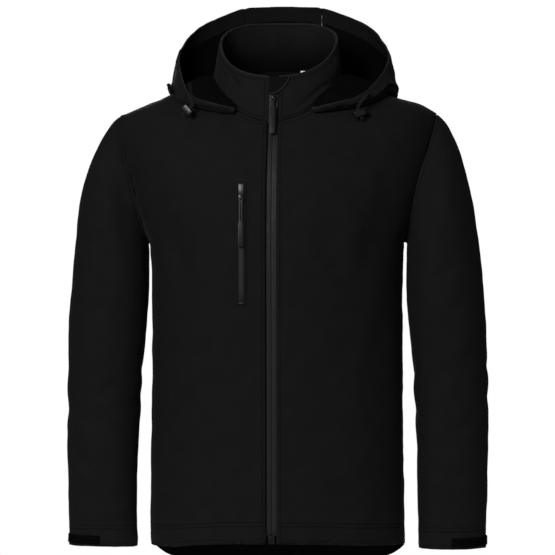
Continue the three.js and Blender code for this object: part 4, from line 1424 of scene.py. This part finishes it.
@dataclass
class Sewing:
    """Rows of single stitches sunk a little into the cloth, all in one mesh.

    Sizes are in millimetres, and the shortest and longest step that gets a stitch are shares of the pitch.
    """

    name: str
    length: float = 2.5
    pitch: float = 3.3
    thread: float = 0.3
    proud: float = 0.1
    shortest: float = 0.4
    longest: float = 2.5
    bm: bmesh.types.BMesh = field(default_factory=bmesh.new, repr=False)
    stitch: Stitch = field(default_factory=Stitch, repr=False)

    def row(self, line: Sequence[Vector], cloth: BVHTree) -> None:
        """Sews along a line that lies near the cloth.

        Args:
            line: Points in metres.
            cloth: The cloth's outer wall.
        """
        found = []
        for point in resampled(line, self.pitch * MM):
            spot, normal, _, _ = cloth.find_nearest(point)
            if spot is not None:
                found.append((spot, normal))
        for (spot, normal), (following, _) in zip(found[:-1], found[1:]):
            way = following - spot
            if not self.shortest < way.length / (self.pitch * MM) < self.longest:
                continue
            out = (normal - way * (normal.dot(way) / way.length_squared)).normalized()
            way.normalize()
            turn = Matrix((way, out.cross(way), out)).transposed().to_4x4()
            size = Matrix.Diagonal((self.length / 2 * MM, self.thread * MM, self.thread * MM, 1))
            self.stitch.add(self.bm, Matrix.Translation(spot + out * (self.proud * MM)) @ turn @ size)

    def along(
        self, shell: ClothShell, line: Sequence[Vector], inset: float, wall: Wall = Wall.OUTER
    ) -> None:
        """Sews inside a panel's edge.

        Args:
            shell: The panel.
            line: A run of its edge.
            inset: How far in from the edge, in millimetres.
            wall: Which side of the cloth the row is seen on.
        """
        for row in shell.contour(line, inset, wall):
            self.row(row, shell.walls[wall])

    def build(self) -> bpy.types.Object:
        """Makes the piece from all the rows sewn so far."""
        piece = mesh_piece(self.name, self.bm, [WARDROBE.get(SEWING_THREAD)])
        return finish_piece(piece, BODY)


# Hardware


@dataclass(frozen=True)
class MouldedPart:
    """A small hard part: its node with rounded edges. Angles are in degrees."""

    FLAT = 3.0
    ROUNDED = 35.0
    SHARP = 40.0
    SEGMENTS = 3

    node: str
    finish: MouldedFinish
    rounding: float
    body: str = BODY

    def build(self) -> bpy.types.Object:
        """Makes the piece.

        Returns:
            The piece.
        """
        bm = merged_copy(self.node)
        flat = math.radians(self.FLAT)
        bmesh.ops.dissolve_limit(bm, angle_limit=flat, verts=bm.verts, edges=bm.edges)
        piece = mesh_piece(f"part_{self.node}", bm, [WARDROBE.get(self.finish)])
        round_edges(piece, self.rounding, self.ROUNDED, self.SEGMENTS)
        applied(piece).set_sharp_from_angle(angle=math.radians(self.SHARP))
        return finish_piece(piece, self.body, [self.node])


@dataclass(frozen=True)
class CordStrand:
    """One strand of the hood's cord, out of its eyelet and down through its lock to a free end."""

    node: str
    points: tuple[Point, ...]
    radius: float = 1.0
    resolution: int = 3
    steps: int = 40

    def build(self) -> bpy.types.Object:
        """Returns:
            The piece.
        """
        name = f"strand_{self.node}"
        line = self.smooth_line()
        curve = tube(name, line, self.radius, self.resolution)
        curve.materials.append(WARDROBE.get(CORD_BRAID))
        piece = linked(name, curve)
        finish_piece(piece, BODY, [self.node])
        return piece

    def smooth_line(self) -> list[Vector]:
        """Runs a smooth curve through the strand's points.

        Returns:
            Its middle line, in metres.
        """
        knots = [Vector(point) * MM for point in self.points]
        ends = [2 * knots[0] - knots[1], *knots, 2 * knots[-1] - knots[-2]]
        line = []
        spans = len(knots) - 1
        per_span = max(self.steps // spans, 2)
        for span in range(spans):
            a, b, c, d = ends[span : span + 4]
            for step in range(per_span):
                t = step / per_span
                bend = (2 * a - 5 * b + 4 * c - d) * t**2 + (3 * b - a - 3 * c + d) * t**3
                line.append(0.5 * (2 * b + (c - a) * t + bend))
        line.append(knots[-1])
        return line


# Points of each strand from its eyelet to its free end, in millimetres
STRANDS = (
    CordStrand("cord_left_outer", (
        (145.6, -77.8, -33.3), (146.6, -80, -31.3), (146.7, -86.4, -31.8), (143, -91, -37.3),
        (137.6, -94.2, -44.2), (132.1, -93.9, -53), (133, -93.2, -55.9), (135.2, -92.8, -61.5),
        (137.5, -92.4, -67), (139.2, -92.1, -71.2),
    )),
    CordStrand("cord_left_inner", (
        (143.5, -78.8, -33.3), (144.5, -80.9, -31.3), (144.3, -85.6, -31.8), (141, -91, -35.7),
        (135.4, -94.2, -42.8), (129.6, -94.1, -52.6), (130.5, -93.6, -57), (132.8, -93.2, -62.5),
        (135, -92.8, -68.1), (136.7, -92.5, -72.2),
    )),
    CordStrand("cord_right_outer", (
        (-135.6, -79.3, -33.3), (-136.5, -81.3, -31.1), (-133.9, -86.5, -30.2), (-128.6, -91.8, -36.1),
        (-122.9, -95.2, -43.7), (-125.4, -96.3, -50.9), (-127.7, -95.9, -53), (-132.1, -95.2, -57),
        (-136.5, -94.4, -61), (-139.8, -93.8, -64),
    )),
    CordStrand("cord_right_inner", (
        (-137.8, -78.4, -33.3), (-138.6, -80.5, -31.1), (-137.1, -86.3, -32.6), (-130.4, -91.8, -37.9),
        (-125.5, -95.2, -44.3), (-127.3, -96, -49.2), (-129.5, -95.6, -51), (-133.9, -94.8, -55),
        (-138.3, -94.1, -59), (-141.7, -93.5, -61.9),
    )),
)


# The jacket's sub-assemblies


@dataclass
class Body:
    """Fronts, back and their seams."""

    armpit: Point = (200, 0, -262)
    shoulder: Point = (249.5, 0, -58.5)
    neck_side: Point = (102, 0, 0)
    hem_side: Point = (201.5, 0, -732)
    zip_low: Point = (7.5, -126, -724)
    zip_high: Point = (7.5, -94, -75)
    tail: Point = (0, 119, -790)
    beside_zip: Point = (7.5, -134, -400)
    front_armhole: Point = (236, -55, -160)
    back_armhole: Point = (236, 55, -160)
    on_shoulder: Point = (180, 0, -25)
    on_side: Point = (199, 0, -500)
    front_hem: Point = (120, -110, -727)
    back_hem: Point = (120, 100, -770)
    pocket_left: float = -57.6
    pocket_right: float = -34.4
    pocket_top: float = -168.5
    pocket_bottom: float = -360.5
    pocket_y: float = -134
    shells: dict[str, ClothShell] = field(default_factory=dict)

    def build(self) -> None:
        """Makes the three panels."""
        for name in ("front_left", "front_right"):
            self.shells[name] = ClothShell(name, TORSO_DRAPE, flat=(0.29, 0.735), area=0.184)
        self.shells["back"] = ClothShell("back", TORSO_DRAPE, flat=(0.58, 0.81), area=0.407)
        for shell in self.shells.values():
            shell.build()

    def declare(self, trims: Sequence[bpy.types.Object]) -> None:
        """Hands each panel to its declare, which does nothing, with the chest pocket's strips for the right
        front.

        Args:
            trims: The chest pocket's narrow strips, which belong to the right front.
        """
        for name, shell in self.shells.items():
            shell.declare(*(trims if name == "front_right" else ()))

    def sew(self, sewing: Sewing) -> None:
        """Sews the zip edges, armholes, shoulders, side seams and the hem.

        Args:
            sewing: Where the stitches go.
        """
        for side in Side:
            front, back = self.shells[f"front_{side.word}"], self.shells["back"]
            rows = (
                (front, self.zip_low, self.zip_high, self.beside_zip),
                (front, self.armpit, self.shoulder, self.front_armhole),
                (back, self.armpit, self.shoulder, self.back_armhole),
                (back, self.neck_side, self.shoulder, self.on_shoulder),
                (back, self.armpit, self.hem_side, self.on_side),
            )
            for shell, *corners in rows:
                sewing.along(shell, shell.run(side.stretch(*corners)), TOPSTITCH)
            front_hem = front.run(side.stretch(self.zip_low, self.hem_side, self.front_hem))
            back_hem = back.run(side.stretch(self.tail, self.hem_side, self.back_hem))
            front.mark_run("hem", front_hem)
            for inset in HEM_ROWS:
                sewing.along(front, front_hem, inset)
                sewing.along(back, back_hem, inset)
        whole = Stretch(Side.RIGHT.at(self.hem_side), self.hem_side, self.tail)
        self.shells["back"].mark_run("hem", self.shells["back"].run(whole))
        self.sew_pocket(sewing)

    def sew_pocket(self, sewing: Sewing) -> None:
        """Sews round the chest pocket.

        Args:
            sewing: Where the stitches go.
        """
        left, right, top, bottom = self.pocket_left, self.pocket_right, self.pocket_top, self.pocket_bottom
        spots = ((left, top), (right, top), (right, bottom), (left, bottom))
        corners = [Vector((x, self.pocket_y, z)) * MM for x, z in spots]
        for start, end in zip(corners, corners[1:] + corners[:1]):
            sewing.row([start, end], self.shells["front_right"].walls[Wall.OUTER])


@dataclass
class Sleeves:
    """Both sleeves and their cuff straps."""

    strap_row: float = 2.2
    shells: dict[str, ClothShell] = field(default_factory=dict)

    def build(self) -> None:
        """Makes the sleeves and straps."""
        for side in Side:
            sleeve = ClothShell(f"sleeve_{side.word}", SLEEVE_DRAPE, flat=(0.44, 0.68), area=0.21)
            strap = ClothShell(
                f"cuff_strap_{side.word}", SLEEVE_DRAPE, flat=(0.156, 0.0145), area=0.0022, slot="strap",
                outside=STRAP_CLOTH, inside=STRAP_CLOTH, held="stretched", levels=2,
            )
            for shell in (sleeve, strap):
                shell.build()
                shell.declare()
                self.shells[shell.node] = shell

    def sew(self, sewing: Sewing) -> None:
        """Sews the cuffs' hems.

        Args:
            sewing: Where the stitches go.
        """
        for side in Side:
            sleeve = self.shells[f"sleeve_{side.word}"]
            strap = self.shells[f"cuff_strap_{side.word}"]
            sleeve.mark_run("hem", sleeve.hem + sleeve.hem[:1])
            for shell, inset in ((sleeve, HEM_ROWS[0]), (strap, self.strap_row)):
                sewing.along(shell, shell.hem + shell.hem[:1], inset)


@dataclass
class CollarAndHood:
    """Stand-up collar, hood and the blank neck label."""

    collar_rim: Point = (7.5, -77, -4)
    collar_rim_back: Point = (0, 78, 92)
    collar_base: Point = (7.5, -92, -75)
    collar_base_back: Point = (0, 78, 10)
    collar_front: Point = (7.5, -86, -40)
    hood_front: Point = (60, -92, -55)
    hood_rim_side: Point = (190, 20, 0)
    hood_top: Point = (59, 141, 118)
    hood_top_middle: Point = (0, 150, 127)
    hood_neck_back: Point = (32, 75, 21)
    hood_seam: Point = (50, 120, -60)
    guard_curve: tuple[Point, Point, Point] = ((24, -77, -3), (-7, -87, -31), (17, -84, -22))
    tunnel: float = TURNED_HEM
    facing_taper: tuple[float, float, float] = (16, -45, 25)
    collar_roll: float = 2.0
    hood_roll: float = 1.5
    guard_roll: float = 1.7
    shells: dict[str, ClothShell] = field(default_factory=dict)

    def build(self) -> None:
        """Makes the pieces."""
        made = (
            ClothShell(
                "collar", COLLAR_DRAPE, flat=(0.56, 0.085), area=0.0354, inside=COLLAR_INSIDE_PAINTED_SHADE, levels=4,
                rim=1.1,
            ),
            ClothShell(
                "hood_side_left", HOOD_DRAPE, flat=(0.32, 0.36), area=0.079, inside=HOOD_INSIDE_PAINTED_SHADE, rim=0.8
            ),
            ClothShell(
                "hood_side_right", HOOD_DRAPE, flat=(0.32, 0.36), area=0.079, inside=HOOD_INSIDE_PAINTED_SHADE,
                sliver_share=0.003, ease=RIGHT_FOLD, rim=0.8,
            ),
            ClothShell(
                "hood_centre", HOOD_DRAPE, flat=(0.13, 0.47), area=0.054, inside=HOOD_INSIDE_PAINTED_SHADE, sharp=75.0,
                widen=0.22, rim=0.8,
            ),
            ClothShell("chin_guard", STILL, flat=(0.031, 0.028), area=0.00062, levels=2),
            ClothShell(
                "neck_label", STILL, flat=(0.0145, 0.0235), area=0.00034, slot="label",
                outside=LABEL_WEAVE, inside=LABEL_WEAVE, levels=2, rim=0.1,
            ),
        )
        for shell in made:
            shell.build()
            self.shells[shell.node] = shell
        self.edge()

    def edge(self) -> None:
        """Rolls the rims of the collar, the hood and the chin guard, and faces the hood's rim inside."""
        collar, guard = self.shells["collar"], self.shells["chin_guard"]
        top = collar.rim_line(collar.run(self.across(self.collar_rim, self.collar_rim_back)))
        collar.declare(roll("collar_rim_roll", top, self.collar_roll, ROLLED_EDGE_PAINTED_HIGHLIGHT))
        curved = guard.rim_line(guard.run(Stretch(*self.guard_curve)))
        guard.declare(roll("chin_guard_binding", curved, self.guard_roll, ROLLED_EDGE_PAINTED_HIGHLIGHT))
        right_top = Side.RIGHT.at(self.hood_top)
        rims = {"hood_centre": Stretch(right_top, self.hood_top, self.hood_top_middle)}
        for side in Side:
            rims[f"hood_side_{side.word}"] = self.hood_rim(side)
        for name, stretch in rims.items():
            hood = self.shells[name]
            line = hood.run(stretch)
            hood.mark_run("turned", line, self.facing_taper)
            hood.declare(roll(f"{name}_rim_roll", hood.rim_line(line), self.hood_roll, ROLLED_EDGE_PAINTED_HIGHLIGHT))
        self.shells["neck_label"].declare()

    @staticmethod
    def across(corner: Point, middle: Point) -> Stretch:
        """A run from a corner on the left round to the same corner on the right."""
        return Stretch(Side.LEFT.at(corner), Side.RIGHT.at(corner), middle)

    def hood_rim(self, side: Side) -> Stretch:
        """The run of the hood's rim on one side."""
        return side.stretch(self.hood_front, self.hood_top, self.hood_rim_side)

    def sew(self, sewing: Sewing) -> None:
        """Sews the collar's rim, base and front edges, and the hood's seams and rim tunnel.

        Args:
            sewing: Where the stitches go.
        """
        collar = self.shells["collar"]
        stretches = (
            self.across(self.collar_rim, self.collar_rim_back),
            self.across(self.collar_base, self.collar_base_back),
            *(side.stretch(self.collar_rim, self.collar_base, self.collar_front) for side in Side),
        )
        for stretch in stretches:
            sewing.along(collar, collar.run(stretch), TOPSTITCH)
        for side in Side:
            hood = self.shells[f"hood_side_{side.word}"]
            rim = hood.run(self.hood_rim(side))
            for wall in (Wall.OUTER, Wall.INNER):
                sewing.along(hood, rim, self.tunnel, wall)
            seam = side.stretch(self.hood_neck_back, self.hood_top, self.hood_seam)
            for shell in (hood, self.shells["hood_centre"]):
                sewing.along(shell, shell.run(seam), TOPSTITCH)


@dataclass
class Zips:
    """Tapes, sliders, pulls and the ends of both zips."""

    small_rounding: float = 0.3
    pull_rounding: float = 0.4
    trim_rounding: float = 0.25
    trim_angle: float = 50.0
    trims: list[bpy.types.Object] = field(default_factory=list)

    def build(self) -> None:
        """Makes the pieces."""
        for side in Side:
            tape = ClothShell(
                f"zip_tape_{side.word}", STILL, flat=(0.013, 0.7), area=0.0087, slot="zip_tape",
                outside=COATED_TAPE, inside=COATED_TAPE, held="stretched", levels=2,
            )
            tape.build()
            tape.declare()
        for node in ("pocket_welt_outer", "pocket_welt_inner", "pocket_tape"):
            self.trims.append(self.trim(node))
        for node in ("zip_box", "zip_slider", "pocket_garage", "pocket_stop", "pocket_slider"):
            MouldedPart(node, MOULDED, self.small_rounding).build()
        for node in ("zip_pull", "pocket_pull"):
            MouldedPart(node, SOFT_MOULDED, self.pull_rounding, body=node).build()

    def trim(self, node: str) -> bpy.types.Object:
        """Makes a narrow strip of the chest pocket.

        Args:
            node: The strip's node.

        Returns:
            The piece.
        """
        bm = merged_copy(node)
        coated = node == "pocket_tape"
        finish = COATED_TAPE if coated else OUTSIDE
        piece = mesh_piece(f"trim_{node}", bm, [WARDROBE.get(finish)])
        round_edges(piece, self.trim_rounding, self.trim_angle)
        applied(piece)
        return finish_piece(piece, BODY, [node])


@dataclass
class Hardware:
    """Eyelets and cord locks."""

    eyelet_rounding: float = 0.2
    lock_rounding: float = 0.7

    def build(self) -> None:
        """Makes the pieces."""
        for side in Side:
            MouldedPart(f"eyelet_{side.word}", MOULDED, self.eyelet_rounding).build()
            MouldedPart(f"cord_lock_{side.word}", MOULDED, self.lock_rounding).build()


# The studio


@dataclass(frozen=True)
class Lamp:
    """A square soft light: its name, place, target and side in metres, and its power in watts."""

    name: str
    spot: Point
    target: Point
    size: float
    watts: float

    def build(self) -> None:
        """Makes the light and turns it to its target."""
        data = bpy.data.lights.new(self.name, "AREA")
        data.size = self.size
        data.energy = self.watts
        lamp = linked(self.name, data)
        lamp.location = self.spot
        way = Vector(self.target) - Vector(self.spot)
        lamp.rotation_euler = way.to_track_quat("-Z", "Y").to_euler()


# Lights: name, place, target, side and watts
LAMPS = (
    Lamp("key", (-1.15, -3.2, 0.9), (-0.02, 0, -0.3), 1.1, 100),
    Lamp("fill", (1.7, -3.0, 0.0), (0, 0, -0.35), 1.8, 8),
    Lamp("top", (-0.5, -0.6, 2.2), (0, 0, -0.3), 1.6, 6),
    Lamp("back", (-0.5, 3.0, 0.5), (0, 0, -0.3), 1.4, 34),
)


@dataclass(frozen=True)
class Studio:
    """Camera, pale floor and soft light."""

    azimuth: float = 4.2
    distance: float = 4.0
    aim_x: float = 0.0
    aim_z: float = -0.315
    lens: float = 164.2
    sensor: float = 36.0
    reach: float = 50.0
    floor_z: float = -0.83
    floor_radius: float = 0.65
    floor_corners: int = 96
    floor_shades: tuple[float, float] = (0.93, 0.95)
    floor_patch: float = 0.4
    floor_roughness: float = 0.9
    dome: float = 0.1
    backdrop: float = 1.0

    def place_camera(self) -> None:
        """Makes the camera, which the scene then uses."""
        turn = math.radians(self.azimuth)
        camera = linked("camera", bpy.data.cameras.new("camera"))
        camera.data.lens = self.lens
        camera.data.sensor_width = self.sensor
        back = Vector((math.sin(turn), -math.cos(turn), 0))
        camera.location = Vector((self.aim_x, 0, self.aim_z)) + back * self.distance
        camera.rotation_euler = (-back).to_track_quat("-Z", "Y").to_euler()
        camera.data.clip_end = self.reach
        bpy.context.scene.camera = camera

    def build(self) -> None:
        """Makes the floor, the lights and the pale surroundings."""
        self.build_floor()
        for lamp in LAMPS:
            lamp.build()
        self.build_surroundings()
        bpy.context.scene.view_settings.view_transform = "Standard"

    def build_floor(self) -> None:
        """Makes the floor, a white disc."""
        bm = bmesh.new()
        bmesh.ops.create_circle(bm, cap_ends=True, segments=self.floor_corners, radius=self.floor_radius)
        bmesh.ops.translate(bm, verts=bm.verts, vec=(0, 0, self.floor_z))
        shader = Shader("floor_white")
        shader.tint(shader.noise(self.floor_patch), *((shade,) * 3 for shade in self.floor_shades))
        shader.set(Roughness=self.floor_roughness)
        mesh_piece("floor", bm, [shader.material])

    def build_surroundings(self) -> None:
        """Makes a dim white dome for the light, which the camera sees as bright white."""
        world = bpy.data.worlds.new("surroundings")
        world.use_nodes = True
        tree = world.node_tree
        dim = tree.nodes["Background"]
        seen = tree.nodes.new("ShaderNodeBackground")
        for background, strength in ((dim, self.dome), (seen, self.backdrop)):
            background.inputs["Color"].default_value = (1, 1, 1, 1)
            background.inputs["Strength"].default_value = strength
        path = tree.nodes.new("ShaderNodeLightPath")
        mix = tree.nodes.new("ShaderNodeMixShader")
        tree.links.new(path.outputs["Is Camera Ray"], mix.inputs["Fac"])
        tree.links.new(dim.outputs[0], mix.inputs[1])
        tree.links.new(seen.outputs[0], mix.inputs[2])
        tree.links.new(mix.outputs[0], tree.nodes["World Output"].inputs["Surface"])
        bpy.context.scene.world = world


def main() -> None:
    """Builds the scene in order: camera, cords, cloth, zips, hardware, sewing, studio."""
    logging.basicConfig(level=logging.INFO, format="%(name)s  %(message)s")
    studio = Studio()
    studio.place_camera()
    for strand in STRANDS:
        strand.build()
    body, sleeves, top, zips = Body(), Sleeves(), CollarAndHood(), Zips()
    for assembly in (body, sleeves, top, zips, Hardware()):
        assembly.build()
    body.declare(zips.trims)
    sewing = Sewing("stitches")
    for assembly in (body, sleeves, top):
        assembly.sew(sewing)
    sewing.build()
    studio.build()


if __name__ == "__main__":
    main()
